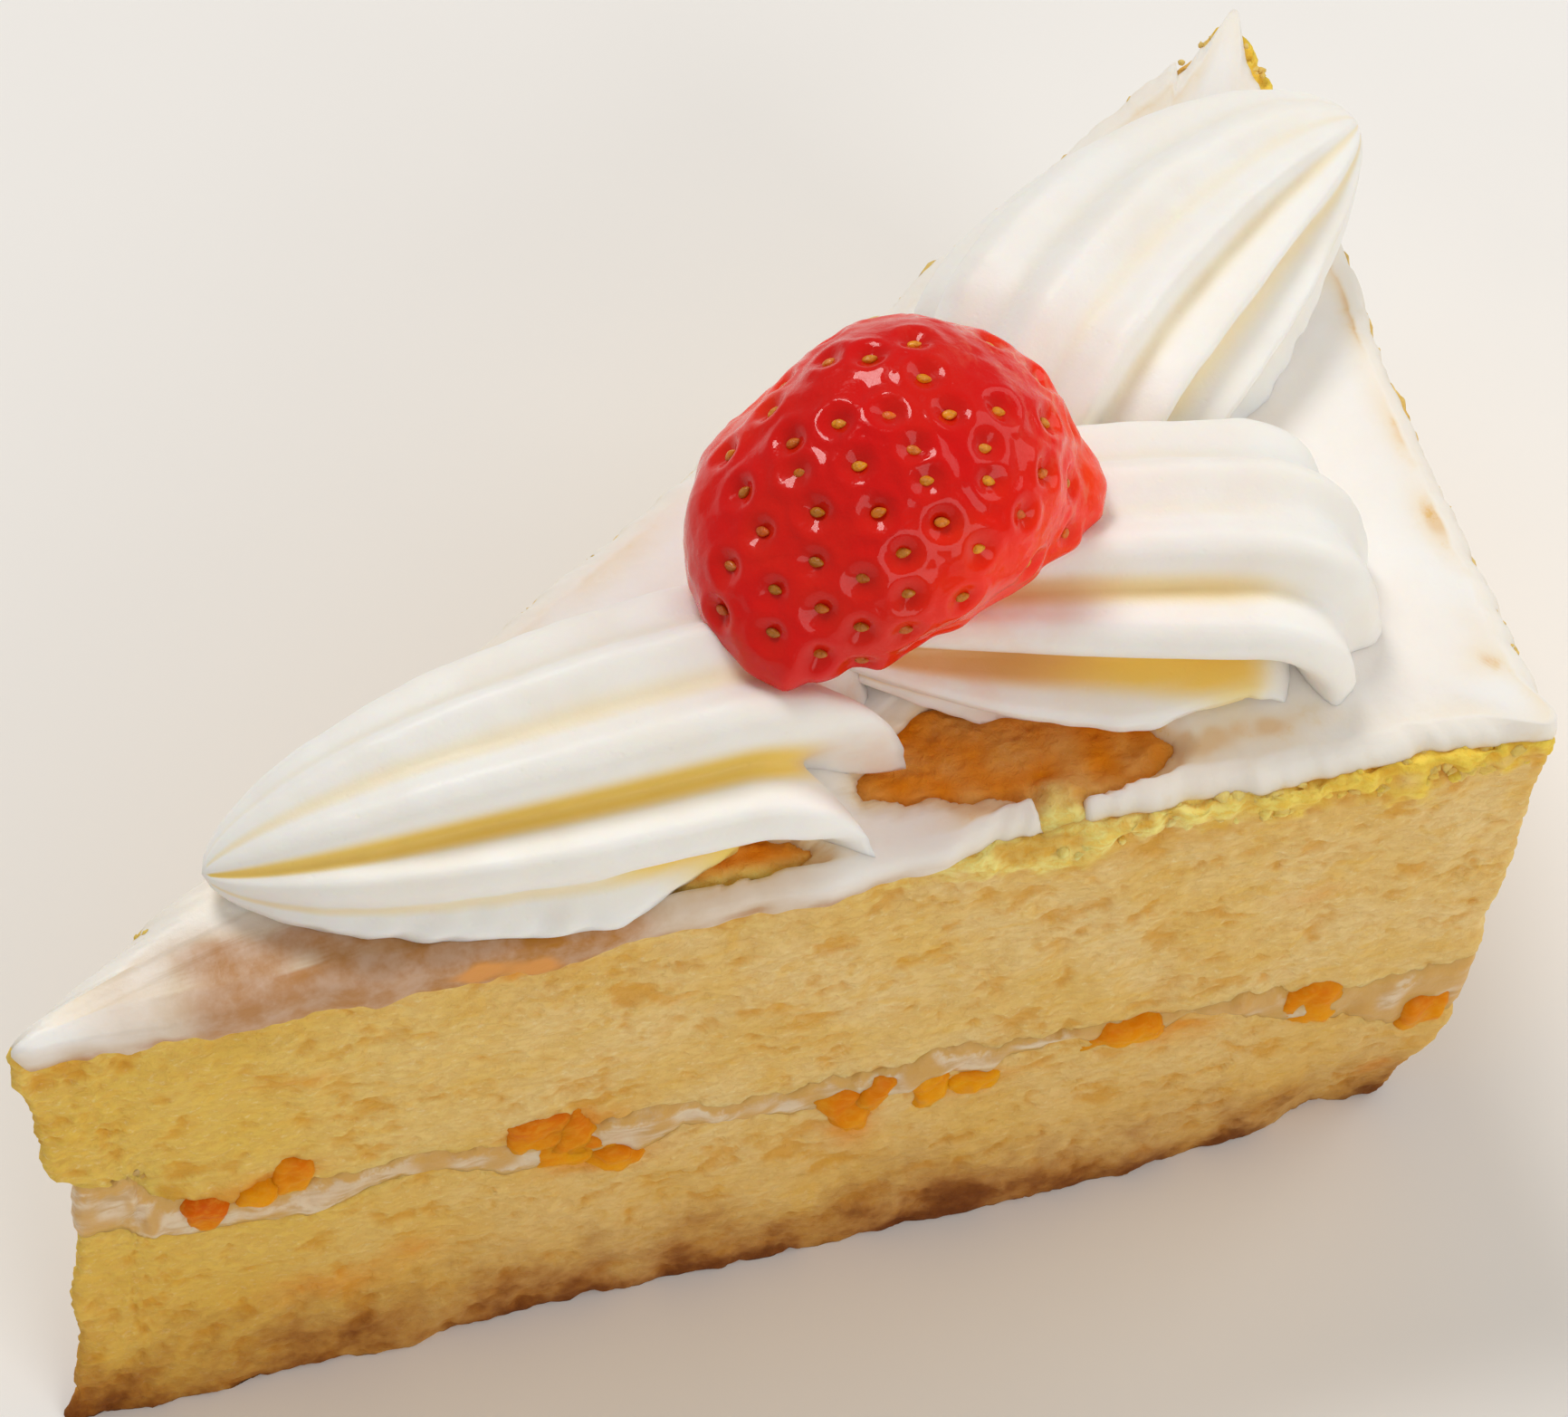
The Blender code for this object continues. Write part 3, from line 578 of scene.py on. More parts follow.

# %% [markdown]
# ## Marks on the sponge
#
# Three marks travel with each point of a sponge: the depth of its hollow, which the material
# paints as shade, how golden it is, and how much fruit juice stains it. The golden band runs
# along the top edge on the right, where the crust is. Stains lie round the fruit and in a few
# spots that the photo shows.

# %% Sponge marks
STAINS = (          # on the front face: x, height, half width, half height, strength
    (-17.6, 43.0, 2.6, 0.8, 0.75), (-21.0, 44.2, 1.6, 0.7, 0.7), (-35.0, 24.6, 3.4, 1.6, 0.8),
    (-39.5, 22.4, 2.4, 2.0, 0.7), (18.6, 43.0, 2.2, 1.1, 0.6), (24.0, 42.8, 3.4, 1.3, 0.6),
    (28.5, 43.4, 1.8, 0.9, 0.5), (34.5, 44.0, 2.4, 0.9, 0.4), (-14.6, 23.2, 4.0, 1.8, 0.85),
    (-12.6, 18.4, 3.8, 1.6, 0.8), (5.0, 15.2, 1.8, 2.6, 0.75), (13.6, 17.6, 2.8, 1.6, 0.6),
    (28.0, 18.6, 3.0, 1.6, 0.6), (39.0, 16.6, 2.2, 1.2, 0.5), (-31.5, 9.5, 4.5, 1.8, 0.45),
    (-25.5, 11.5, 1.8, 1.6, 0.4), (12.0, 41.0, 3.0, 0.9, 0.25), (44.6, 5.7, 1.6, 1.6, 0.5),
    (36.0, 33.0, 2.6, 0.9, 0.25), (-33.0, 36.5, 3.0, 0.8, 0.25),
)


def spotted(x, y, spots, sharpness, limit):
    """How strongly a list of oval spots marks a flat place, all in millimetres."""
    total = 0.0
    for middle_x, middle_y, half_x, half_y, strength in spots:
        span = ((x - middle_x) / half_x) ** 2 + ((y - middle_y) / half_y) ** 2
        if span < limit:
            total += strength * math.exp(-sharpness * span)
    return total


def stained(place, stains, ragged, seed):
    """How much juice a list of stains leaves at a point; ragged is how far their edges wander."""
    x = place.x / MM + ragged * waves(place, 1.5 * MM, seed)
    z = place.z / MM + ragged * waves(place, 1.5 * MM, seed + 1)
    return spotted(x, z, stains, 1.2, 4)


def stain_at(place, on_front):
    """How much juice stains a point of the sponge."""
    return min(stained(place, STAINS, 0.9, 51) * on_front, 1.0) if on_front > 0 else 0.0


def golden_at(place, on_front):
    """How golden the top edge is."""
    right = eased(-2 * MM, 16 * MM, place.x) * on_front
    right = max(right, eased(12 * MM, 22 * MM, place.y) * eased(47.5 * MM, 49 * MM, place.x))
    reach = (2.0 + 2.6 * waves(place, 4 * MM, 53) + 1.6 * waves(place, 1.3 * MM, 54)) * MM
    band = eased(SPONGE_TOP - reach - 1.6 * MM, SPONGE_TOP - reach + 0.4 * MM, place.z)
    return band * (0.12 + 0.88 * right)


# %% [markdown]
# ## The skin of a sponge
#
# One function makes both sponges. Their sides get the crumb, deeper towards the point. The
# upper one's top edge is torn on the right and pressed in on the left, where the icing hangs
# over it. Rings just inside that edge carry the torn crust a little way over the top. Faces
# that lie on another layer are never seen, so they stay flat and have few rings.

# %% The sponge's sides
def hanging_share(point):
    """1 where the icing hangs over the front edge, 0 where it stays behind it."""
    on_front = 1.0 - eased(TIP.y + 0.1 * MM, TIP.y + 0.8 * MM, point.y)
    past_tip = eased(TIP.x + 0.3 * MM, TIP.x + 3 * MM, point.x)
    return on_front * past_tip * (1.0 - eased(7 * MM, 13 * MM, point.x))


def side_relief(rim, point, top_edge, share):
    """Relief and hollow depth at a point of a sponge's side; share is its row, from 0 to 1."""
    end = min(share, 1.0 - share)
    near_tip = eased(-38 * MM, -48 * MM, point.x) * eased(0.0, 0.1, end)
    relief, hole_and_shade = crumb(rim, 1.0 + near_tip)
    if top_edge:
        near_top = eased(41.5 * MM, 45 * MM, rim.z) * eased(4 * MM, 14 * MM, point.x)
        torn = layered(rim, (0.9, 2.4, 55), (0.4, 1.1, 56), (0.1, 0.5, 57))
        relief += (torn - 0.05) * near_top * MM
        # Deeper parts of the torn crust are painted a darker amber too: painted shade.
        hole_and_shade = min(hole_and_shade + near_top * eased(0.1, -0.5, torn), 1.0)
        relief -= 0.6 * MM * hanging_share(point) * eased(39 * MM, 43 * MM, rim.z)
    return relief - (0.12 * MM if end == 0 else 0.0), hole_and_shade


# %% A whole sponge
HIDDEN_RINGS = (4.0 * MM,)          # rings of a face that lies on another layer, by their depth
BASE_RINGS = (1.0 * MM, 5.0 * MM, 12.0 * MM)
RIM_RINGS = tuple(depth * MM for depth in (0.3, 0.6, 0.95, 1.3, 1.7, 2.2, 3.0, 5.0, 12.0))


def sponge_layer(rows, floor_of, ceiling_of, lower_rings, upper_rings, top_edge):
    """One sponge: a drum with cut crumb on its sides, and torn crust where it has a top edge."""
    def place_of(index, ring, row):
        point, outward = OUTLINE[index]
        low, high = floor_of(index), ceiling_of(index)
        height = low + (high - low) * row / rows
        on_front = front_share(point)
        rim = lifted(point, height)
        if ring == 0:
            relief, hole_and_shade = side_relief(rim, point, top_edge, row / rows)
            place = shaped_side(point, outward, height, relief)
            spot = lifted(place, height)
            return spot, (hole_and_shade, golden_at(spot, on_front), stain_at(spot, on_front))
        depths = lower_rings if row == 0 else upper_rings
        depth = depths[ring - 1] if ring <= len(depths) else INRADIUS
        base = shaped_side(point, outward, height, 0.0)
        place = MIDDLE.lerp(base, 1.0 - depth / INRADIUS)
        if not top_edge or row < rows:
            return lifted(place, height), (0.0, 0.0, 0.0)
        pulled_in = min(side_relief(rim, point, top_edge, 1.0)[0], 0.0)
        place += outward * pulled_in * (1.0 - eased(0.0, 3.0 * MM, depth))
        spot = lifted(place, height)
        relief, hole_and_shade = crumb(spot, 1.6)
        torn = layered(spot, (0.6, 1.9, 58), (0.25, 0.9, 59))
        spot.z += min(relief + torn * MM, 0.5 * MM) * (1.0 - hanging_share(point))
        if on_front == 0:
            return spot, (0.3 * hole_and_shade, golden_at(spot, 0.0), 0.0)
        crust = 1.0 - eased(0.8 * MM, 1.8 * MM, spot.y - TIP.y)
        return spot, (0.5 * hole_and_shade, crust, 1.0 - crust)

    return wrapped_drum(rows, len(lower_rings), len(upper_rings), place_of)


# %% [markdown]
# ## The sponge's finish
#
# Baked sponge is matt and lets light a little way in, which softens its shadows. Its colour
# wanders between pale straw and a warmer yellow, with lighter flecks where the crumb catches
# the light. Towards the base it turns brown, because that side lay on the baking tray.

# %% Sponge material
def sponge_finish():
    """Baked sponge."""
    crumbs = Finish("sponge")
    hole_and_shade, golden, stain = crumbs.marks()
    flat = crumbs.squeezed(1.0, 1.0, 1.6)
    height = crumbs.axis("Z")
    along = crumbs.axis("X")
    patches = crumbs.step(crumbs.mottle(8.0, 3.0), 0.35, 0.68)
    grain = crumbs.step(crumbs.mottle(0.9, 5.0, 0.65, flat, 0.5), 0.4, 0.66)
    clots = crumbs.step(crumbs.mottle(2.6, 5.0, 0.62, flat, 0.8), 0.5, 0.68)
    flecks = crumbs.step(crumbs.mottle(0.6, 3.0, 0.6, flat), 0.56, 0.74)
    colour = crumbs.mixed(patches, (242, 209, 142), (238, 198, 116))
    colour = crumbs.mixed(crumbs.step(along, -12.0, -46.0, 0.0, 0.75), colour, (236, 196, 76))
    colour = crumbs.mixed(crumbs.times(clots, 0.45), colour, (236, 184, 76))
    colour = crumbs.mixed(crumbs.times(grain, 0.35), colour, (224, 174, 92))
    # Painted highlights: lighter flecks where the crumb catches the light.
    colour = crumbs.mixed(crumbs.times(flecks, 0.4), colour, (250, 230, 176))
    colour = crumbs.mixed(crumbs.step(height, 24.0, 8.0, 0.0, 0.35), colour, (226, 172, 76))
    bright = crumbs.mixed(crumbs.step(along, 20.0, 40.0), (255, 238, 146), (255, 218, 92))
    bright = crumbs.mixed(crumbs.times(grain, 0.6), bright, (250, 196, 60))
    colour = crumbs.mixed(golden, colour, bright)
    # Painted shade: the hollows are a darker amber.
    colour = crumbs.mixed(crumbs.times(hole_and_shade, 0.62), colour, (222, 154, 38))
    pale = crumbs.times(crumbs.step(height, 39.0, 41.0), crumbs.step(height, 45.5, 44.5))
    pale = crumbs.times(pale, crumbs.step(along, 0.0, 8.0))
    juice = crumbs.mixed(pale, (236, 138, 14), (224, 166, 62))
    colour = crumbs.mixed(stain, colour, juice)
    baked = crumbs.mottle(6.0, 4.0, 0.6)
    level = crumbs.plus(height, crumbs.step(baked, 0.2, 0.8, 4.0, -5.0))
    brown = crumbs.times(crumbs.step(level, 11.0, -2.0), crumbs.step(along, 15.0, 45.0, 1.0, 0.75))
    colour = crumbs.mixed(crumbs.times(brown, 0.88), colour, (162, 88, 26))
    crust = crumbs.step(level, 3.0, -3.0)
    colour = crumbs.mixed(crumbs.times(crust, 0.85), colour, (104, 50, 16))
    fine = crumbs.bump(crumbs.mottle(0.4, 4.0, 0.65), 0.11)
    normal = crumbs.bump(grain, -0.05, fine)
    return crumbs.finish(
        colour, crumbs.step(grain, 0.0, 1.0, 0.95, 0.82), normal, 0.25, (1.0, 0.62, 0.25), 1.6,
        Specular_IOR_Level=0.15,
    )


SPONGE = sponge_finish()

# %% [markdown]
# ## The two sponges
#
# The lower one has a flat base with a few rings, so that its faces stay even. The upper one
# has the rings for the torn crust, close together near the edge. The rows are about as high
# as the steps along the front are long, so the crumb is as fine both ways.

# %% Build the sponges
LOWER_ROWS = 62
UPPER_ROWS = 82

new_piece(
    "lower_sponge",
    sponge_layer(
        LOWER_ROWS, lambda i: 0.0, lambda i: BORDERS[i][0], BASE_RINGS, HIDDEN_RINGS, False,
    ),
    SPONGE, "sponge", "sponge_bottom",
)
new_piece(
    "upper_sponge",
    sponge_layer(
        UPPER_ROWS, lambda i: BORDERS[i][1], lambda i: SPONGE_TOP, HIDDEN_RINGS, RIM_RINGS, True,
    ),
    SPONGE, "sponge", "sponge_top",
)

# %% [markdown]
# ## The filling
#
# Whipped cream was spread between the sponges and the knife smeared it a little over both.
# Its face swells and sinks, and it is greyer than the icing because it lies in the shade.

# %% Build the filling
FILLING_ROWS = 10
FILLING_OVERLAP = {0: -0.3 * MM, FILLING_ROWS: 0.3 * MM}    # its rims reach into the sponges
FILLING_RING = 1.5 * MM             # the depth of the one ring in each of its two ends


def filling_place(index, ring, row):
    """The cream's face bulges between the sponges."""
    point, outward = OUTLINE[index]
    low, high = BORDERS[index]
    share = row / FILLING_ROWS
    height = low + (high - low) * share + FILLING_OVERLAP.get(row, 0.0)
    if ring:
        base = shaped_side(point, outward, height, 0.0)
        place = MIDDLE.lerp(base, 1.0 - (FILLING_RING if ring == 1 else INRADIUS) / INRADIUS)
        return lifted(place, height), (0.0, 0.0, 0.0)
    spot = lifted(point, height)
    swell = layered(spot, (0.5, 4, 61), (0.3, 1.6, 62)) + 0.25
    reach = math.sin(math.pi * share) ** 0.6 * (0.2 + swell) - 0.15
    place = shaped_side(point, outward, height, reach * MM)
    thin = 0.55 + 0.7 * waves(spot, 2.2 * MM, 63)
    thin += 0.35 * eased(5 * MM, 30 * MM, place.x) * front_share(point)
    border = 1.0 - math.sin(math.pi * share)
    return lifted(place, height), (clamped(thin), border, 0.0)


def filling_finish():
    """Spread cream, with sponge showing through where it is thin."""
    cream = Finish("filling_cream")
    thin, border, _ = cream.marks()
    streaks = cream.step(cream.mottle(2.4, 4.0, 0.6, cream.squeezed(0.6, 0.6, 1.8), 0.6), 0.4, 0.7)
    # Its colours are greyer than the icing's: painted shade, as it lies in the shade between the
    # sponges.
    colour = cream.mixed(streaks, (232, 210, 178), (206, 166, 108))
    colour = cream.mixed(cream.step(thin, 0.5, 0.85, 0.0, 0.9), colour, (214, 166, 84))
    edge = cream.plus(border, cream.step(cream.mottle(1.2, 4.0, 0.6), 0.3, 0.7, -0.35, 0.35))
    colour = cream.mixed(cream.step(edge, 0.2, 0.85, 0.0, 0.95), colour, (216, 168, 84))
    normal = cream.bump(cream.mottle(0.9, 4.0, 0.6), 0.15)
    return cream.finish(
        colour, cream.step(streaks, 0.0, 1.0, 0.42, 0.6), normal, 0.4, (1.0, 0.7, 0.45), 1.5,
    )


CREAM = filling_finish()
filling_block = wrapped_drum(FILLING_ROWS, 1, 1, filling_place)
new_piece("cream_filling", filling_block, CREAM, "filling", "filling_cream")

# %% [markdown]
# ## The fruit
#
# Diced peach sits in the cream: glossy, orange and a little see-through. A die starts as an
# icosphere, is squared up by a power of its directions, tapered, arched and roughened, and
# is then pressed into its side of the slice. The photo shows eight on the front. The ones
# on the two other sides stand for the rest of the fruit.

# %% Fruit shapes
FRUIT = {       # side, along, height, half width, half height, turn, taper, arch, amber
    "peach_1": (("front", 12.7, 22.7, 1.6, 1.5, 12, 0.1, 0.0, 0.8),),
    "peach_2": (
        ("front", 16.4, 24.0, 1.2, 1.0, -8, 0.0, 0.3, 0.1),
        ("front", 18.6, 24.4, 1.5, 1.6, 8, 0.2, 0.0, 0.35),
    ),
    "peach_3": (
        ("front", 35.4, 23.4, 2.1, 1.9, 6, 0.1, 0.0, 0.6),
        ("front", 37.4, 22.2, 2.0, 2.8, -20, 0.3, 0.0, 0.5),
        ("front", 37.6, 20.0, 3.0, 1.7, 22, 0.0, 0.2, 0.35),
        ("front", 40.6, 18.2, 2.0, 1.1, 14, 0.3, 0.0, 0.3),
    ),
    "peach_4": (
        ("front", 56.9, 17.6, 2.3, 2.6, -12, 0.75, 0.0, 0.3),
        ("front", 58.6, 19.4, 1.0, 1.4, 24, 0.0, 0.0, 0.45),
    ),
    "peach_5": (
        ("front", 62.7, 18.2, 1.5, 1.9, -6, 0.35, 0.0, 0.1),
        ("front", 65.8, 17.6, 1.8, 1.1, 10, 0.0, 0.0, 0.0),
    ),
    "peach_6": (("front", 76.4, 19.6, 2.7, 1.2, 4, 0.0, 1.0, 0.3),),
    "peach_7": (("front", 90.2, 18.2, 2.2, 1.8, -14, 0.2, 0.2, 0.3),),
    "peach_8": (("front", 100.2, 14.3, 1.5, 1.9, 10, 0.1, 0.0, 0.4),),
    "peach_9": (("right", 18.0, 17.6, 2.4, 2.0, 10, 0.1, 0.0, 0.4),),
    "peach_10": (("right", 44.0, 18.4, 2.5, 1.8, -15, 0.0, 0.3, 0.3),),
    "peach_11": (("back", 22.0, 18.0, 2.3, 1.9, 15, 0.2, 0.0, 0.4),),
    "peach_12": (("back", 47.0, 20.4, 2.7, 2.2, -10, 0.1, 0.2, 0.5),),
    "peach_13": (("back", 82.0, 22.4, 2.4, 2.0, 4, 0.0, 0.0, 0.3),),
}
SIDES = {
    "front": (TIP, FRONT_CORNER),
    "right": (FRONT_CORNER, BACK_CORNER),
    "back": (BACK_CORNER, TIP),
}
FRUIT_DEPTH = 2.2 * MM          # half of a die's depth into the cake
FRUIT_PROUD = 0.6 * MM          # how far a die stands out
FRUIT_SPREAD = 1.3              # the dice reach a little past their solids, under the cream
SQUARENESS = 3.2                # 2 is a ball, and more is boxier


def add_fruit(block, side, along, height, half_width, half_height, turn, taper, arch, amber):
    """Add one piece of fruit to a bmesh."""
    layers = block.verts.layers.float_color
    marks = layers.get("marks") or layers.new("marks")
    start, end = SIDES[side]
    way = (end - start).normalized()
    inward = Vector((-way.y, way.x))
    flat = start + way * along * MM
    place = shaped_side(flat, -inward, height * MM, FRUIT_PROUD - FRUIT_DEPTH)
    ball = bmesh.ops.create_icosphere(block, subdivisions=4, radius=1.0)["verts"]
    size = Vector((FRUIT_SPREAD * half_width * MM, FRUIT_DEPTH, FRUIT_SPREAD * half_height * MM))
    for vertex in ball:
        way_out = vertex.co.normalized()
        power = sum(abs(part) ** SQUARENESS for part in way_out)
        spot = way_out * power ** (-1.0 / SQUARENESS)
        spot.x *= 1.0 - taper * (0.5 - 0.5 * spot.z)
        spot.z += arch * (0.5 - spot.x ** 2) * 0.8
        spot = Vector((spot.x * size.x, spot.y * size.y, spot.z * size.z))
        from_here = spot + Vector((along, height, 0)) * MM
        lumps = layered(from_here, (0.5, 1.7, 71), (0.3, 0.8, 72))
        vertex.co = spot + way_out * lumps * MM * 0.95
        shade = amber + 0.35 * way_out.z + 0.3 * waves(from_here, 1.9 * MM, 74)
        vertex[marks] = (clamped(shade), 0.5 + 0.5 * waves(from_here, 1.2 * MM, 73), 0.0, 1.0)
    set_in = Matrix((
        (way.x, inward.x, 0, place.x),
        (way.y, inward.y, 0, place.y),
        (0, 0, 1, height * MM),
        (0, 0, 0, 1),
    ))
    set_in = set_in @ Matrix.Rotation(math.radians(turn), 4, "Y")
    bmesh.ops.transform(block, matrix=set_in, verts=ball)


# %% [markdown]
# The fruit's finish runs from yellow to reddish orange. A wet coat gives it small
# highlights, and light passes through it further than through the cream.

# %% Fruit material and pieces
def fruit_finish():
    """Wet peach."""
    peach = Finish("peach_flesh")
    amber, cloudy, _ = peach.marks()
    colour = peach.mixed(amber, (240, 160, 10), (218, 100, 8))
    threads = peach.step(peach.mottle(0.8, 4.0, 0.6, peach.squeezed(1.0, 1.0, 2.2), 0.5), 0.4, 0.68)
    colour = peach.mixed(peach.times(threads, 0.3), colour, (240, 178, 60))
    colour = peach.mixed(peach.step(cloudy, 0.66, 0.9, 0.0, 0.5), colour, (226, 160, 70))
    normal = peach.bump(peach.mottle(0.6, 4.0, 0.6), 0.1)
    return peach.finish(
        colour, peach.step(threads, 0.0, 1.0, 0.34, 0.55), normal, 0.3, (1.0, 0.45, 0.12), 1.5,
        Coat_Weight=0.02, Coat_Roughness=0.12, Specular_IOR_Level=0.04,
    )


PEACH = fruit_finish()
for node_name, dice in FRUIT.items():
    fruit_block = bmesh.new()
    for die in dice:
        add_fruit(fruit_block, *die)
    new_piece("fruit_" + node_name, fruit_block, PEACH, "peach", node_name)

# %% [markdown]
# ## The icing
#
# The icing was spread thin with a knife, then the slice was cut. On the left it hangs a
# little over the front edge. On the right it thins out behind the crust. Near the front it
# was pulled off, and the sponge shows in a patch. It is one drum again: the rim's profile is
# a soft curve through a few points, and the top dips under the sponge where it is bare.

# %% Where the icing is missing
BARE_PATCH = (
    (5.6, -25.4), (7.5, -23.4), (11.4, -21.4), (17.0, -22.4), (21.5, -24.4), (24.4, -26.0),
    (25.2, -27.2), (24.0, -28.4), (21.6, -29.2), (18.8, -29.8), (18.6, -31.0), (18.4, -34.5),
    (16.4, -34.5), (16.4, -31.0), (16.0, -29.0), (14.0, -28.2), (9.9, -27.1), (7.2, -27.0),
    (5.8, -26.6),
)
BARE_CRESCENT = (
    (-14.0, -29.2), (-9.0, -28.4), (-5.0, -28.2), (-1.5, -28.8), (0.6, -29.8), (-1.4, -30.4),
    (-4.4, -30.5), (-9.0, -30.3), (-13.6, -30.0),
)


def inside(point, polygon):
    """Millimetres inside a polygon, or negative outside it."""
    x, y = point.x / MM, point.y / MM
    nearest = 1e9
    within = False
    for (ax, ay), (bx, by) in zip(polygon, polygon[1:] + polygon[:1]):
        dx, dy = bx - ax, by - ay
        t = clamped(((x - ax) * dx + (y - ay) * dy) / (dx * dx + dy * dy))
        nearest = min(nearest, math.hypot(x - ax - t * dx, y - ay - t * dy))
        if (ay > y) != (by > y) and x < ax + (y - ay) / (by - ay) * dx:
            within = not within
    return nearest if within else -nearest


def bareness(point):
    """0 where the icing is whole, 1 where the sponge is bare; and 1 near such a place."""
    if not (-17 * MM < point.x < 33 * MM and point.y < -20 * MM):
        return 0.0, 0.0
    edge = layered(point.to_3d(), (0.5, 1.6, 81), (0.25, 0.7, 82))
    depth = max(inside(point, BARE_PATCH), inside(point, BARE_CRESCENT))
    return eased(-0.75, 0.25, depth + edge), eased(-2.6, -0.2, depth + edge)


# %% The icing's sizes and thin places
ICING_ROWS = 18
ICING_FOOT = 45.6                   # the level of its underside, in mm
ICING_RING = 3.0 * MM               # the depth of the one ring in its underside
ICING_RINGS = (                     # their depths: close together near the rim, wider inside
    *(0.36 * MM * k for k in range(1, 29)),
    *((10.2 + 0.95 * k) * MM for k in range(12)),
)
# Two of these, at x 27.4 and 32.6, are not thin places but painted shade in front of the side
# shell, near its head.
SPOTS = (           # thin places in the icing: x, y, half width, half depth, strength
    (12.0, -29.4, 3.0, 1.5, 0.7), (15.0, -30.6, 1.8, 1.6, 0.7), (27.4, -28.0, 3.6, 1.1, 1.0),
    (32.6, -27.8, 5.0, 1.2, 0.8), (48.4, -14.2, 1.5, 2.0, 0.75), (47.6, -26.4, 1.6, 1.3, 0.75),
    (50.3, -27.6, 0.9, 2.2, 0.75), (48.7, -7.5, 0.8, 2.4, 0.75), (49.2, 12.5, 0.8, 3.5, 0.75),
    (49.0, 3.5, 0.7, 3.0, 0.75), (-20.0, -12.5, 1.2, 2.8, 0.75), (-8.0, -4.5, 1.4, 2.2, 0.75),
)
BLOTS = (                           # stains low on the hanging icing, as STAINS
    (-21.2, 46.0, 2.3, 1.1, 0.95), (-17.4, 44.7, 2.1, 1.5, 1.0),
)
# The icing's darkening along the front is partly the sponge through it and partly painted shadow of
# the tip shell.
APRON_SHADE = (                           # along the front, how much the sponge darkens the icing
    (-48, 0), (-43, 0.35), (-37, 0.9), (-13, 1.0), (-8, 0.55), (-3, 0.4), (3, 0),
)

# %% [markdown]
# The rim's points go from its underside, round its edge, up to its top, as (how far inside
# the outline, height). One set is for the hanging edge, one for the thin edge, and the two
# are mixed by `hanging_share`.

# %% The icing's rim
def icing_rim(point):
    """The rim's profile at a point of the outline, in millimetres, and how much it hangs."""
    hanging = hanging_share(point)
    place = point.to_3d()
    ragged = layered(place, (1.0, 6, 11), (0.45, 1.8, 12))
    corner = min((point - end).length for end in CORNERS)
    clear = eased(0.5 * MM, 4 * MM, corner)
    fine = waves(place, 1.1 * MM, 14)
    crusty = 0.05 + 0.2 * ragged + 0.25 * fine
    if point.y < TIP.y + 0.8 * MM:                  # on the front, where the crust shows
        crusty = 0.7 + 0.75 * ragged + 0.2 * fine
    elif point.x > 45 * MM:                         # and at the back of the right side
        crusty += (0.8 + 0.3 * ragged) * eased(12 * MM, 20 * MM, point.y)
    setback = (0.02 + max(crusty, 0.0) * clear) * (1.0 - hanging) - 0.45 * hanging
    drop = 1.6 + 1.1 * ragged + 0.7 * waves(place, 2.6 * MM, 13) + 0.5 * fine
    drop *= eased(0.5, 1.0, hanging)
    drop *= 1.0 - 0.5 * eased(-17 * MM, -12 * MM, point.x)
    drop = max(drop, 0.0) * (1.0 - eased(9 * MM, 13 * MM, point.x))
    hung = ((1.4, ICING_FOOT), (0.75, 45.9 - drop * 0.7), (0.42, 45.95 - drop), (0.1, 46.1 - drop),
            (0.0, 46.5 - drop * 0.6), (0.0, 46.9), (0.3, 47.3), (0.75, 47.55), (1.5, 47.72))
    thin = ((1.6, ICING_FOOT), (0.8, ICING_FOOT), (0.3, 45.7), (0.02, 45.95),
            (0.04, 46.25), (0.25, 46.65), (0.6, 47.05), (1.0, 47.35), (1.6, 47.6))
    lip = 0.15 + 0.85 * clear
    rows = []
    for (depth_a, level_a), (depth_b, level_b) in zip(hung, thin):
        depth = (depth_a * hanging + depth_b * (1.0 - hanging)) * lip + setback
        rows.append((depth, level_a * hanging + level_b * (1.0 - hanging)))
    return rows, hanging


ICING_RIMS = [icing_rim(point) for point, _ in OUTLINE]

# %% The icing's skin
def inset_place(index, depth, height):
    """A point that many metres inside the shaped outline; outside it where depth is negative."""
    point, outward = OUTLINE[index]
    wobble = shaped_side(point, outward, SPONGE_TOP, 0.0) - point
    flat = MIDDLE.lerp(point, 1.0 - depth / INRADIUS) if depth > 0 else point - outward * depth
    flat += wobble * (1.0 - eased(0.0, 4.0 * MM, depth))
    return lifted(flat, height)


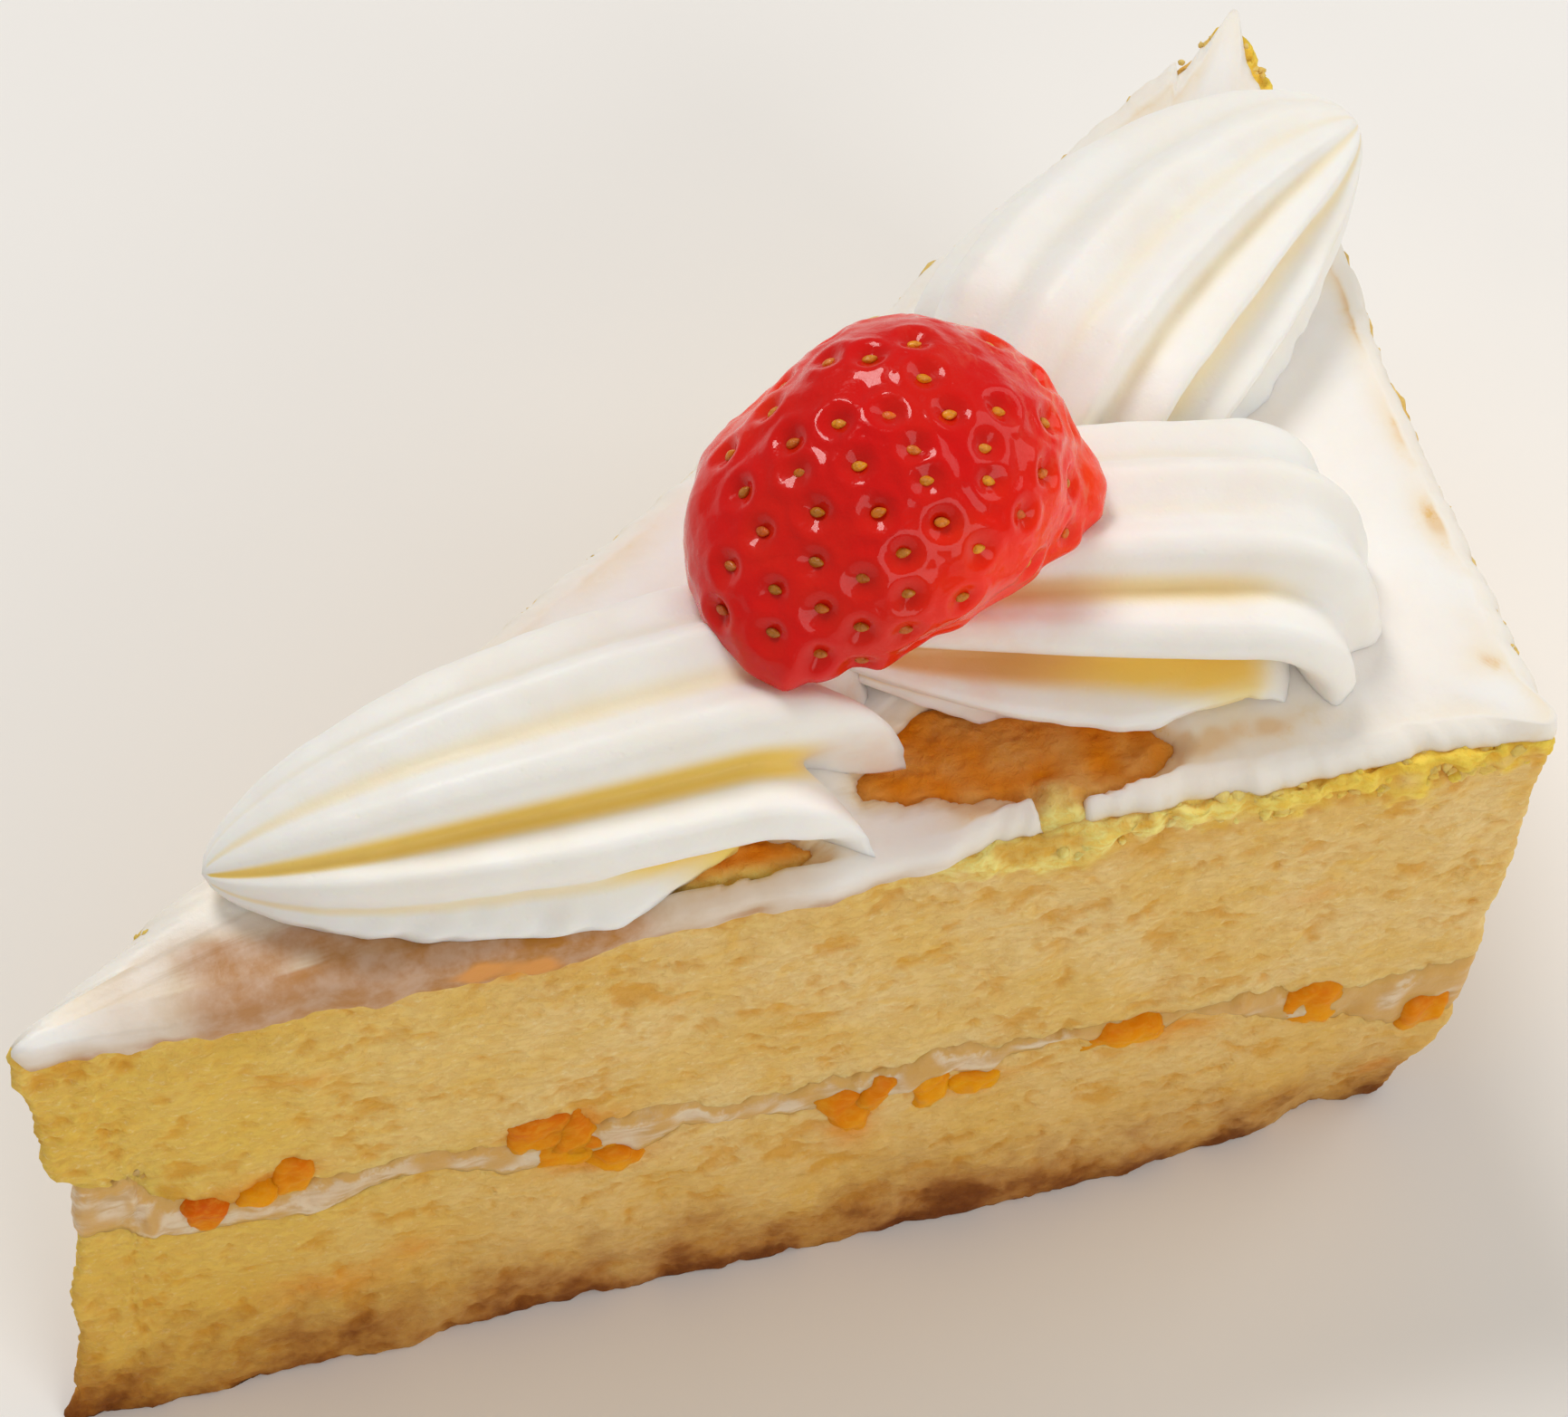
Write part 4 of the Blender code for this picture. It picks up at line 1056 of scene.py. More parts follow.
def icing_place(index, ring, row):
    """The icing's skin. Its marks are how thin it is (two spots are painted shade), how bare, and
    how darkly it is veiled by the sponge through it and by painted shade.
    """
    rim, hanging = ICING_RIMS[index]
    if ring == 0:
        depth, level = smooth_line(rim, row / ICING_ROWS)
        place = inset_place(index, depth * MM, level * MM)
        bare = bareness(place.xy)[0]
        place.z -= 2.6 * MM * bare * eased(ICING_FOOT * MM, 47.2 * MM, place.z)
        thin = (1.0 - hanging) * (1.0 - 0.75 * eased(0.2, 0.8, row / ICING_ROWS))
        side = 1.0 - eased(0.4, 0.75, row / ICING_ROWS)
        streaky = 0.65 + 0.6 * waves(Vector((place.x * 0.4, place.y, place.z)), 1.3 * MM, 35)
        apron_shade = max(follow(APRON_SHADE, place.x / MM), side * streaky)
        blot = min(stained(place, BLOTS, 0.6, 53), 1.0)
        return place, (thin, max(bare, blot * hanging), clamped(apron_shade) * hanging)
    if row == 0:
        depth = ICING_RING if ring == 1 else INRADIUS
        return inset_place(index, depth, ICING_FOOT * MM), (0.0, 0.0, 0.0)
    if ring > len(ICING_RINGS):
        return lifted(MIDDLE, ICING_TOP), (0.0, 0.0, 0.0)
    inner = ICING_RINGS[ring - 1]
    depth = inner + rim[-1][0] * MM * (1.0 - inner / INRADIUS)
    place = inset_place(index, depth, ICING_TOP)
    fall = (ICING_TOP / MM - rim[-1][1]) * (1.0 - eased(0.0, 4.5 * MM, inner))
    knife = Vector((place.x * 0.25, place.y, 0.0))      # its strokes run along x
    place.z += (0.16 * waves(place, 15 * MM, 83) + 0.07 * waves(knife, 2.4 * MM, 84) - fall) * MM
    bare, near_bare = bareness(place.xy)
    place.z -= (2.7 * bare + near_bare * (0.9 + 0.3 * waves(place, 3.5 * MM, 37))) * MM
    thin = 0.6 * (1.0 - eased(0.0, 3.0 * MM, inner)) * (0.6 + waves(place, 5 * MM, 85))
    thin += near_bare * (0.9 + 0.5 * waves(place, 1.8 * MM, 36))
    spots = spotted(place.x / MM, place.y / MM, SPOTS, 1.0, 6)
    thin += spots * (0.85 + 0.4 * waves(place, 1.4 * MM, 86))
    apron_shade = follow(APRON_SHADE, place.x / MM) * (1.0 - eased(-28.6 * MM, -25.6 * MM, place.y))
    apron_shade *= clamped(0.95 + 0.6 * waves(place, 2.6 * MM, 89))
    return place, (clamped(thin), bare, apron_shade)


# %% [markdown]
# Icing lets light in, so it looks soft and a little warm. Where it is thin, the yellow sponge
# shows through it in specks. Along the left of the front it is browner: partly the sponge
# through the thin, hanging icing, partly painted shadow of the tip shell. Where it is missing
# it takes the colour of the juice.

# %% Icing material and piece
def icing_finish():
    """Thin white icing, warmer where the sponge shows through."""
    icing = Finish("white_icing")
    thin, bare, apron_shade = icing.marks()
    cloudy = icing.step(icing.mottle(12.0, 3.0), 0.35, 0.7)
    colour = icing.mixed(cloudy, (249, 245, 241), (246, 239, 232))
    specks = icing.step(icing.mottle(1.6, 4.0, 0.65), 0.5, 0.75)
    through = icing.times(thin, icing.step(specks, 0.0, 1.0, 0.65, 1.0))
    showing = icing.mixed(icing.step(thin, 0.5, 1.0), (240, 216, 170), (230, 186, 108))
    colour = icing.mixed(through, colour, showing)
    # Painted shadow of the tip shell, with the sponge showing through.
    veil_and_shade = icing.times(apron_shade, icing.step(icing.mottle(2.2, 4.0, 0.6), 0.3, 0.7, 0.75, 1.0))
    veil_and_shade_colour = icing.mixed(icing.step(apron_shade, 0.5, 0.9), (190, 148, 76), (180, 116, 4))
    colour = icing.mixed(veil_and_shade, colour, veil_and_shade_colour)
    colour = icing.mixed(icing.step(bare, 0.2, 0.75), colour, (226, 156, 76))
    fine = icing.bump(icing.mottle(0.7, 4.0, 0.6), 0.05)
    normal = icing.bump(icing.mottle(3.0, 3.0, 0.5, icing.squeezed(0.35, 1.0, 1.0)), 0.12, fine)
    return icing.finish(
        colour, icing.step(cloudy, 0.0, 1.0, 0.38, 0.52), normal, 0.5, (1.0, 0.84, 0.64), 1.4,
        Specular_IOR_Level=0.3,
    )


ICING = icing_finish()
icing_block = wrapped_drum(ICING_ROWS, 1, len(ICING_RINGS), icing_place)
new_piece("spread_icing", icing_block, ICING, "icing", "icing_top")

# %% [markdown]
# ## The bare sponge under the icing
#
# Where the icing came off, a skin of torn sponge lies just under its level. It is a fine
# grid with the same crumb relief, solidified downwards so that it is a closed piece.

# %% Build the bare sponge
SKIN_MIDDLE = (8.4, -25.85)         # of the skin seen from above, in mm
SKIN_SIZE = (49.6, 10.9)
SKIN_CELLS = (180, 62)
HEAP_X = 17.2                       # a small heap of crumb that stands in the gap in the icing
HEAP_WIDTH = 1.6


def bare_sponge():
    """A crumbly skin under the bare places."""
    block = bmesh.new()
    bmesh.ops.create_grid(block, x_segments=SKIN_CELLS[0], y_segments=SKIN_CELLS[1], size=0.5)
    marks = block.verts.layers.float_color.new("marks")
    for vertex in block.verts:
        spans = zip(SKIN_MIDDLE, SKIN_SIZE, vertex.co)
        flat = Vector([middle + size * share for middle, size, share in spans]) * MM
        place = lifted(flat, SPONGE_TOP)
        relief, hole_and_shade = crumb(place, 0.9)
        edge = min(0.5 - abs(vertex.co.x), 0.5 - abs(vertex.co.y))
        heap = bell(flat.x / MM - HEAP_X, HEAP_WIDTH)
        heap *= 1.0 - eased(-29.5 * MM, -27.5 * MM, flat.y)
        raised = 0.5 * (1.0 - eased(-4 * MM, 2 * MM, flat.x)) + 0.7 * heap
        inner = eased(-31.0 * MM, -29.4 * MM, flat.y)
        rise = 0.3 * waves(place, 3.0 * MM, 87) + 0.2 + 0.4 * bareness(flat)[0] + 0.4 * inner
        rise += raised * (1.0 + 0.8 * waves(place, 1.2 * MM, 38))
        tucked = 0.5 * MM * (1.0 - eased(0.0, 0.04, edge))
        place.z += (rise * MM + relief) * eased(0.0, 0.06, edge) - tucked
        vertex.co = place
        juice = (0.8 + 0.4 * waves(place, 2.4 * MM, 88)) * (1.0 - heap) * inner
        vertex[marks] = (0.35 * hole_and_shade, max(0.3 * heap, 0.8 - 0.8 * inner), clamped(juice), 1.0)
    bmesh.ops.solidify(block, geom=block.faces, thickness=0.8 * MM)
    return block


new_piece("bare_sponge", bare_sponge(), SPONGE, "sponge")

# %% [markdown]
# ## Piped cream shells
#
# A shell is piped with a star nozzle: the cream swells at the head, curls down onto the
# icing, and tapers off as the bag is pulled away. A uvsphere gives the right net: its
# columns become the ridges, its rings the stations along the spine. Crests are the turns of
# the ridges round the spine, valleys the depth after each one, and ends how far it reaches.
# A ridge with a fade sinks towards the head, and one with a flare swells there. Parting is how
# much deeper the valleys get near the head, and spread how much the near ones widen there. The
# painted shade in a near valley ends at shaded_to on its way across, and in every valley at
# shaded_until on its way to the head. Lengths are in millimetres and turns in degrees.

# %% The three shells
SHELLS = {
    "cream_shell_tip": {
        "middle": (-4.0, -22.3), "forward": 3.0, "tail": (-36.8, -24.3), "tail_height": 2.2,
        "half_width": 10.6, "far_side": 1.0, "height": 12.2, "reach": 12.4,
        "crests": (-160, -118, -78, -42, -11, 22, 59, 100, 148),
        "valleys": (0.2, 0.2, 0.16, 0.13, 0.17, 0.32, 0.18, 0.2, 0.2),
        "shaded_to": 0.74, "shaded_until": 0.68, "parting": 1.1, "spread": 1.0,
        "ends": (1.0, 1.0, 0.96, 0.98, 1.02, 1.14, 0.95, 0.92, 1.0),
        "fades": (0.0, 0.0, 0.0, 0.0, 0.0, 0.0, 0.0, 0.34, 0.3),
        "flares": (0.0, 0.0, 0.0, 0.0, 0.0, 0.05, 0.15, 0.0, 0.0),
    },
    "cream_shell_back": {
        "middle": (28.8, 3.0), "forward": -138.0, "tail": (52.3, 14.9), "tail_height": 5.5,
        "half_width": 12.6, "far_side": 0.88, "height": 10.6, "reach": 12.0,
        "crests": (-172, -138, -106, -72, -46, -22, 4, 40, 82, 132),
        "valleys": (0.2, 0.2, 0.2, 0.18, 0.17, 0.14, 0.12, 0.13, 0.2, 0.2),
        "shaded_to": 0.7, "shaded_until": 0.68, "parting": 0.45, "spread": 0.0,
        "ends": (1.0, 1.0, 0.9, 1.0, 1.0, 1.0, 1.0, 1.0, 1.0, 1.0),
        "fades": (0.0,) * 10,
        "flares": (0.0,) * 10,
    },
    "cream_shell_side": {
        "middle": (32.6, -17.8), "forward": -12.0, "tail": (1.5, -15.8), "tail_height": 6.0,
        "half_width": 11.6, "far_side": 1.0, "height": 11.4, "reach": 10.4,
        "crests": (-165, -124, -84, -46, -13, 15, 46, 92, 124, 154),
        "valleys": (0.2, 0.2, 0.18, 0.13, 0.13, 0.22, 0.42, 0.24, 0.2, 0.2),
        "shaded_to": 0.84, "shaded_until": 0.57, "parting": -0.2, "spread": 0.0,
        "ends": (1.0, 1.0, 0.84, 0.84, 1.0, 1.04, 0.95, 0.72, 0.7, 0.9),
        "fades": (0.0, 0.0, 0.0, 0.0, 0.0, 0.0, 0.0, 0.26, 0.3, 0.2),
        "flares": (0.0,) * 10,
    },
}

# %% [markdown]
# Every shell follows a spine. Its tail lies along the icing and narrows to a tip. At the head
# the spine bends up and over, and the sections turn with it, so that the ridges fan out and
# curl down onto the icing as piped cream does.

# %% A shell's spine and ridges
SHELL_SUNK = 1.6 * MM           # how deep a shell sits in the icing
BEND_SHARE = 0.3                # how wide its spine bends at the head, as a share of its height
TAIL_STATIONS = 0.55            # the share of its stations that lie before that bend
HEAD_TURN = math.radians(118)   # how far the spine curls over
OPENING = (0.6, 0.85)           # along a shell: where its valleys open, near the head
FADING = (0.37, 0.59)           # and where a ridge with a fade sinks
CLOSING = 0.76                  # along the head: where its end rounds off
# how strongly a valley's depth turns into painted shade
SHADE_GAIN = 3.4


def shell_spine(shell, back):
    """Centre and way forward of a shell's tail: back is 0 at its head, 1 at its tip."""
    middle = Vector(shell["middle"]) * MM
    tail = Vector(shell["tail"]) * MM
    forward = turned(Vector((1.0, 0.0)), math.radians(shell["forward"]))
    knee = middle - forward * (tail - middle).length / 2
    centre = middle.lerp(knee, back).lerp(knee.lerp(tail, back), back)
    way = (middle.lerp(knee, back) - knee.lerp(tail, back)).normalized()
    return centre, way


def ridge_at(shell, ring, along):
    """Turn round the section, the valley's depth and shade, the ridge's reach, fade and flare."""
    crests = shell["crests"]
    number = math.floor(ring)
    this = number % len(crests)
    following = (number + 1) % len(crests)
    start, end = crests[this], crests[following]
    if end < start:
        end += 360
    share = ring - number
    opened = shell["spread"] * eased(*OPENING, along)
    # The near valleys lie by their lower ridge, except where they are spread.
    lean = 1.0 + 0.75 * eased(0, 30, start) * (1.0 - opened)
    valley = math.sin(math.pi * share ** lean) ** (1.7 - 0.6 * opened) * shell["valleys"][this]
    shaded_to = shell["shaded_to"]
    shaded = valley * (1.0 - eased(shaded_to, shaded_to + 0.18, share) * eased(0, 30, start))
    blend = eased(0.3, 0.7, share)
    kinds = (shell["ends"], shell["fades"], shell["flares"])
    blended = [kind[this] * (1.0 - blend) + kind[following] * blend for kind in kinds]
    return math.radians(start + (end - start) * share), valley, shaded, *blended


# %% A point of a shell
def shell_point(shell, ring, share):
    """A point of a piped shell, and how much painted shade it gets in its valleys and recesses."""
    turn, valley, shaded, reach, fade, flare = ridge_at(shell, ring, share)
    growth = 0.45 + 0.55 * eased(0.0, 0.3, share) + shell["parting"] * eased(*OPENING, share)
    recess = fade * eased(*FADING, share)
    star = (1.0 - growth * valley) * (1.0 - recess) * (1.0 + flare * eased(0.5, 0.9, share))
    bend = shell["height"] * MM * BEND_SHARE
    upright = shell["height"] * MM - bend + SHELL_SUNK
    if share < TAIL_STATIONS:
        back = 1.0 - share / TAIL_STATIONS
        lean = 0.0
        taper = max(1.0 - back ** 2.1, 0.0) ** 0.62
        stretch = taper
        centre, way = shell_spine(shell, back)
        rise = bend + (shell["tail_height"] * MM + SHELL_SUNK - bend) * back ** 1.5
    else:
        head = (share - TAIL_STATIONS) / (1.0 - TAIL_STATIONS)
        lean = HEAD_TURN * head
        rounding = max(head - CLOSING, 0.0) / (1.0 - CLOSING)
        closing = math.sqrt(max(1.0 - rounding ** 2, 0.0))
        taper = closing * (1.0 - 0.1 * eased(0.2, 0.8, head))
        forward = (shell["reach"] * MM - bend) / upright
        stretch = taper * (1.0 + (forward * reach - 1.0) * eased(0.0, 0.75, head))
        centre, way = shell_spine(shell, 0.0)
        centre = centre + way * bend * math.sin(lean)
        rise = bend * math.cos(lean)
    side = shell["half_width"] * MM * taper * star * math.sin(turn)
    side *= 1.0 + (shell["far_side"] - 1.0) * eased(-0.2, 0.4, math.sin(turn))
    out = upright * stretch * star * math.cos(turn)
    ending = 1.0 - 0.8 * eased(shell["shaded_until"] - 0.08, shell["shaded_until"] + 0.22, share)
    across = Vector((way.y, -way.x))
    place = centre + way * out * math.sin(lean) + across * side
    height = ICING_TOP - SHELL_SUNK + rise + out * math.cos(lean)
    # The mark is painted shade: deep in the near valleys and where a faded ridge sinks, weaker
    # towards the head.
    return lifted(place, height), min((shaded + recess) * SHADE_GAIN, 1.0) * ending


# %% Build a shell
RIDGE_SAMPLES = 18              # round each ridge
STATIONS = 150                  # from tip to head
BERRY_MIDDLE = Vector((10.0, -14.0)) * MM       # the strawberry's, whose juice stains the shells


def cut_level(block, height):
    """Cut a block flat at a height, keep the upper part and close it."""
    bmesh.ops.bisect_plane(
        block, geom=block.verts[:] + block.edges[:] + block.faces[:],
        plane_co=(0, 0, height), plane_no=(0, 0, -1), clear_outer=True, dist=1e-7,
    )
    rim = [edge for edge in block.edges if edge.is_boundary]
    bmesh.ops.holes_fill(block, edges=rim, sides=0)


def build_shell(shell, seed):
    """One piped shell, with the small ripples that the cream gets as it leaves the nozzle."""
    ridges = len(shell["crests"])
    block = bmesh.new()
    bmesh.ops.create_uvsphere(
        block, u_segments=ridges * RIDGE_SAMPLES, v_segments=STATIONS, radius=1.0,
    )
    marks = block.verts.layers.float_color.new("marks")
    for vertex in block.verts:
        ring = math.atan2(vertex.co.x, vertex.co.y) / math.tau * ridges
        share = math.acos(max(-1.0, min(1.0, vertex.co.z))) / math.pi
        place, valley = shell_point(shell, ring, share)
        centre, _ = shell_spine(shell, max(1.0 - share / TAIL_STATIONS, 0.0))
        outward = (place - lifted(centre, ICING_TOP)).normalized()
        foot = 1.0 - eased(0.5 * MM, 3 * MM, place.z - ICING_TOP)
        ripple = layered(place, (0.22, 5, seed), (0.08, 1.8, seed + 1), (0.4 * foot, 1.7, seed + 2))
        vertex.co = place + outward * ripple * MM * eased(0.0, 0.08, share)
        juice = 1.0 - eased(9 * MM, 17 * MM, (vertex.co.xy - BERRY_MIDDLE).length)
        # Its marks are the painted shade of its valleys and how near the strawberry's juice is.
        vertex[marks] = (min(valley, 1.0), juice, 0.0, 1.0)
    cut_level(block, ICING_TOP - 0.5 * MM)
    return block


# %% [markdown]
# The cream's finish is a warm white. Light travels some millimetres inside whipped cream,
# and between two ridges it bounces until it turns yellow; that yellow shade is painted into
# the valleys. Beside the strawberry a little juice has run into it, and in the valleys there
# the painted shade turns salmon.

# %% Shell material and pieces
def shell_finish():
    """Piped whipped cream."""
    cream = Finish("piped_cream")
    valley, juice, _ = cream.marks()
    cloudy = cream.step(cream.mottle(7.0, 3.0), 0.35, 0.7)
    colour = cream.mixed(cloudy, (249, 246, 241), (247, 242, 234))
    # Painted shade: the valleys are tinted yellow.
    colour = cream.mixed(cream.step(valley, 0.3, 1.0), colour, (248, 216, 118))
    # Painted shade in the valleys near the strawberry, salmon with its juice.
    juice_and_shade = cream.times(juice, cream.step(valley, 0.3, 0.9, 0.0, 0.75))
    colour = cream.mixed(juice_and_shade, colour, (222, 164, 110))
    blush = cream.times(juice, cream.step(cream.mottle(4.0, 3.0), 0.42, 0.7, 0.05, 0.35))
    colour = cream.mixed(blush, colour, (240, 190, 160))
    bubbles = cream.step(cream.cells(1.1), 0.0, 0.2)
    fine = cream.bump(cream.mottle(0.45, 4.0, 0.6), 0.03)
    normal = cream.bump(bubbles, 0.02, fine)
    return cream.finish(
        colour, cream.step(cloudy, 0.0, 1.0, 0.42, 0.55), normal, 0.5, (1.0, 0.76, 0.5), 1.8,
        Specular_IOR_Level=0.3,
    )


PIPED = shell_finish()
for number, (node_name, shell) in enumerate(SHELLS.items()):
    shell_block = build_shell(shell, 90 + 3 * number)
    new_piece("piped_" + node_name, shell_block, PIPED, "piped_cream", node_name)

# %% [markdown]
# ## The strawberry
#
# Half a strawberry lies cut face down on the shells. Its dome is an icosphere pushed out to
# the fruit's own outline. Each seed sits in a dimple with a soft raised rim, in staggered
# rows. The seeds that the photo shows are placed by direction from the middle of the cut
# face, and the rows carry on round the hidden side.

# %% Strawberry shape
BERRY_HEIGHT = 12.3 * MM
BERRY_SEAT = 59.6 * MM          # the height of its cut face
BERRY_OUTLINE = (               # direction in degrees, and how far the dome's foot reaches in mm
    (-180, 13.5), (-167, 14.2), (-153, 15.0), (-140, 15.6), (-132, 15.7), (-126, 14.2),
    (-117, 12.6), (-88, 9.9), (-68, 9.4), (-40, 10.3), (-24, 12.1), (-14, 13.3), (-6, 13.9),
    (0, 13.8), (7, 13.1), (14, 12.6), (60, 12.0), (124, 10.8), (160, 12.2), (180, 13.5),
)
BERRY_ROUND = 12.0 * MM         # its radius higher up
BERRY_SHOULDER = 2.2 * MM       # how much it is cut back at the far left
SHOULDER_WIDTH = 40             # in degrees
BERRY_BULGE = 2.2               # 2 would make its side a plain ellipse


def berry_point(direction, lift=0.0):
    """The strawberry's surface in a direction from the middle of its cut face."""
    azimuth = math.degrees(math.atan2(direction.y, direction.x))
    turn = math.radians(azimuth)
    level, steep = math.hypot(direction.x, direction.y), abs(direction.z)
    outline = follow(BERRY_OUTLINE, azimuth) * MM
    # A smooth oval takes over from the uneven outline above the foot, and a circle at the top.
    oval = (12.2 + 1.8 * math.cos(2 * (turn + 2.7)) + math.cos(turn + 2.6)) * MM
    outline += (oval - outline) * eased(0.03, 0.36, steep)
    swing = (azimuth + 45) % 360 - 180          # from the far left shoulder
    shoulder = BERRY_SHOULDER * bell(swing, SHOULDER_WIDTH) * (1.0 - eased(0.75, 1.0, steep))
    outline += (BERRY_ROUND - shoulder - outline) * eased(0.1, 0.9, steep)
    size = (level / outline) ** BERRY_BULGE + (steep / BERRY_HEIGHT) ** BERRY_BULGE
    return Vector((*BERRY_MIDDLE, BERRY_SEAT)) + direction * (size ** (-1.0 / BERRY_BULGE) + lift)


# %% Where the seeds lie
SHOWN_SEEDS = (                 # direction and height angle, in degrees
    (-169.3, 68.7), (-96.9, 70.8), (-160.0, 51.0), (-134.9, 63.0), (-91.4, 61.3), (-58.4, 53.8),
    (-171.9, 34.0), (-142.2, 45.6), (-116.8, 51.9), (-87.9, 48.7), (-52.3, 38.6), (-155.6, 32.0),
    (-134.3, 33.2), (-104.9, 41.0), (-75.0, 37.3), (-157.2, 19.6), (-118.1, 32.6), (-142.3, 21.9),
    (-128.1, 21.9), (-102.8, 28.6), (-116.1, 18.2), (-153.4, 8.5), (-137.9, 12.3), (-125.7, 9.0),
    (-103.0, 15.7), (-134.0, 80.9), (-39.1, 75.1), (-16.5, 60.6), (-46.7, 61.1), (126.5, 61.8),
    (134.1, 41.3), (-176.2, 54.0), (167.9, 30.5), (-31.0, 39.4), (-49.9, 14.2), (-83.2, 22.2),
    (-115.1, 3.0), (-28.5, 8.0), (64.2, 67.8), (107.9, 72.4), (30.7, 81.0), (2.1, 63.7),
    (155.5, 46.0),
)
SEED_HEADING = math.radians(-8)         # the way that the berry points
SEED_SPACING = 4.2 * MM
SHOWN_GAP = 2.1 * MM            # the least distance between two seeds that show
ROW_GAP = 3.3 * MM              # and between those of the rows
SEED_ROWS = 11
LOWEST_SEED = 0.16              # as a share of the way up


def seed_directions():
    """The seeds that show, then staggered rows wherever there is room."""
    found = []
    for azimuth, height in SHOWN_SEEDS:
        flat = turned(Vector((1.0, 0.0)), math.radians(azimuth)) * math.cos(math.radians(height))
        direction = lifted(flat, math.sin(math.radians(height)))
        gaps = ((berry_point(direction) - berry_point(other)).length for other in found)
        if min(gaps, default=1.0) > SHOWN_GAP:
            found.append(direction)
    along = turned(Vector((1.0, 0.0)), SEED_HEADING).to_3d()
    across = Vector((-along.y, along.x, 0.0))
    for row in range(SEED_ROWS):
        polar = math.pi * (row + 0.5) / SEED_ROWS
        count = max(round(math.tau * BERRY_ROUND * math.sin(polar) / SEED_SPACING), 3)
        for number in range(count):
            turn = math.tau * (number + 0.5 * (row % 2)) / count
            ring = across * math.sin(turn) + Vector((0, 0, 1)) * math.cos(turn)
            direction = along * math.cos(polar) + ring * math.sin(polar)
            near = min((berry_point(direction) - berry_point(other)).length for other in found)
            if direction.z > LOWEST_SEED and near > ROW_GAP:
                found.append(direction)
    return found


SEEDS = seed_directions()
print("seeds on the strawberry:", len(SEEDS))

# %% Build the strawberry
DIMPLE_DEPTH = 0.55 * MM
DIMPLE_RADIUS = 0.85 * MM
RIM_HEIGHT = 0.14 * MM
RIM_RADIUS = 1.45 * MM
RIM_WIDTH = 0.5 * MM
SEED_SIZE = Vector((0.5, 0.33, 0.25)) * MM      # half its length, width and thickness
SEED_SUNK = 0.43 * MM


def build_berry():
    """The dome, dimpled. Its mark is how near a seed it is, which paints shade into the dimples."""
    block = bmesh.new()
    bmesh.ops.create_icosphere(block, subdivisions=7, radius=1.0)
    low = [vertex for vertex in block.verts if vertex.co.z < -0.12]
    bmesh.ops.delete(block, geom=low, context="VERTS")
    marks = block.verts.layers.float_color.new("marks")
    tree = kdtree.KDTree(len(SEEDS))
    for number, direction in enumerate(SEEDS):
        tree.insert(berry_point(direction), number)
    tree.balance()
    for vertex in block.verts:
        direction = vertex.co.normalized()
        place = berry_point(direction)
        nearest = tree.find(place)[2]
        dimple = bell(nearest, DIMPLE_RADIUS)
        rim = bell(nearest - RIM_RADIUS, RIM_WIDTH)
        lumps = layered(place, (0.16, 5, 95), (0.2, 2.2, 97), (0.05, 1.1, 96))
        lift = RIM_HEIGHT * rim - DIMPLE_DEPTH * dimple + lumps * MM
        vertex.co = berry_point(direction, lift)
        vertex[marks] = (dimple, 0.0, 0.0, 1.0)
    cut_level(block, BERRY_SEAT)
    return block


def build_seeds():
    """Every seed, a flattened drop lying in its dimple along the rows."""
    block = bmesh.new()
    marks = block.verts.layers.float_color.new("marks")
    draw = random.Random(7)
    for direction in SEEDS:
        place = berry_point(direction, -SEED_SUNK)
        red = draw.random() ** 2
        turn = SEED_HEADING + draw.uniform(-0.35, 0.35)
        heading = turned(Vector((1.0, 0.0)), turn).to_3d()
        across = direction.cross(heading).normalized()
        along = across.cross(direction).normalized()
        seed = bmesh.ops.create_icosphere(block, subdivisions=3, radius=1.0)["verts"]
        for vertex in seed:
            point = 1.0 - 0.3 * eased(-0.2, 1.0, vertex.co.x)
            vertex.co = Vector((vertex.co.x, vertex.co.y * point, vertex.co.z)) * SEED_SIZE
            vertex[marks] = (red, 0.0, 0.0, 1.0)
        frame_in = Matrix((along, across, direction)).transposed().to_4x4()
        frame_in.translation = place
        bmesh.ops.transform(block, matrix=frame_in, verts=seed)
    return block


# %% [markdown]
# Strawberry skin is wet and glossy, and its red comes from below the surface. It is orange
# red in the middle and crimson towards the low left side. Its top is a darker crimson, which
# is painted shade. It is paler at the upper right, where fine pale streaks run between the
# seeds: partly paler skin, partly a painted sheen. The dimples are darker, also painted
# shade. The seeds are straw yellow, with painted shade that makes them browner on the low left.

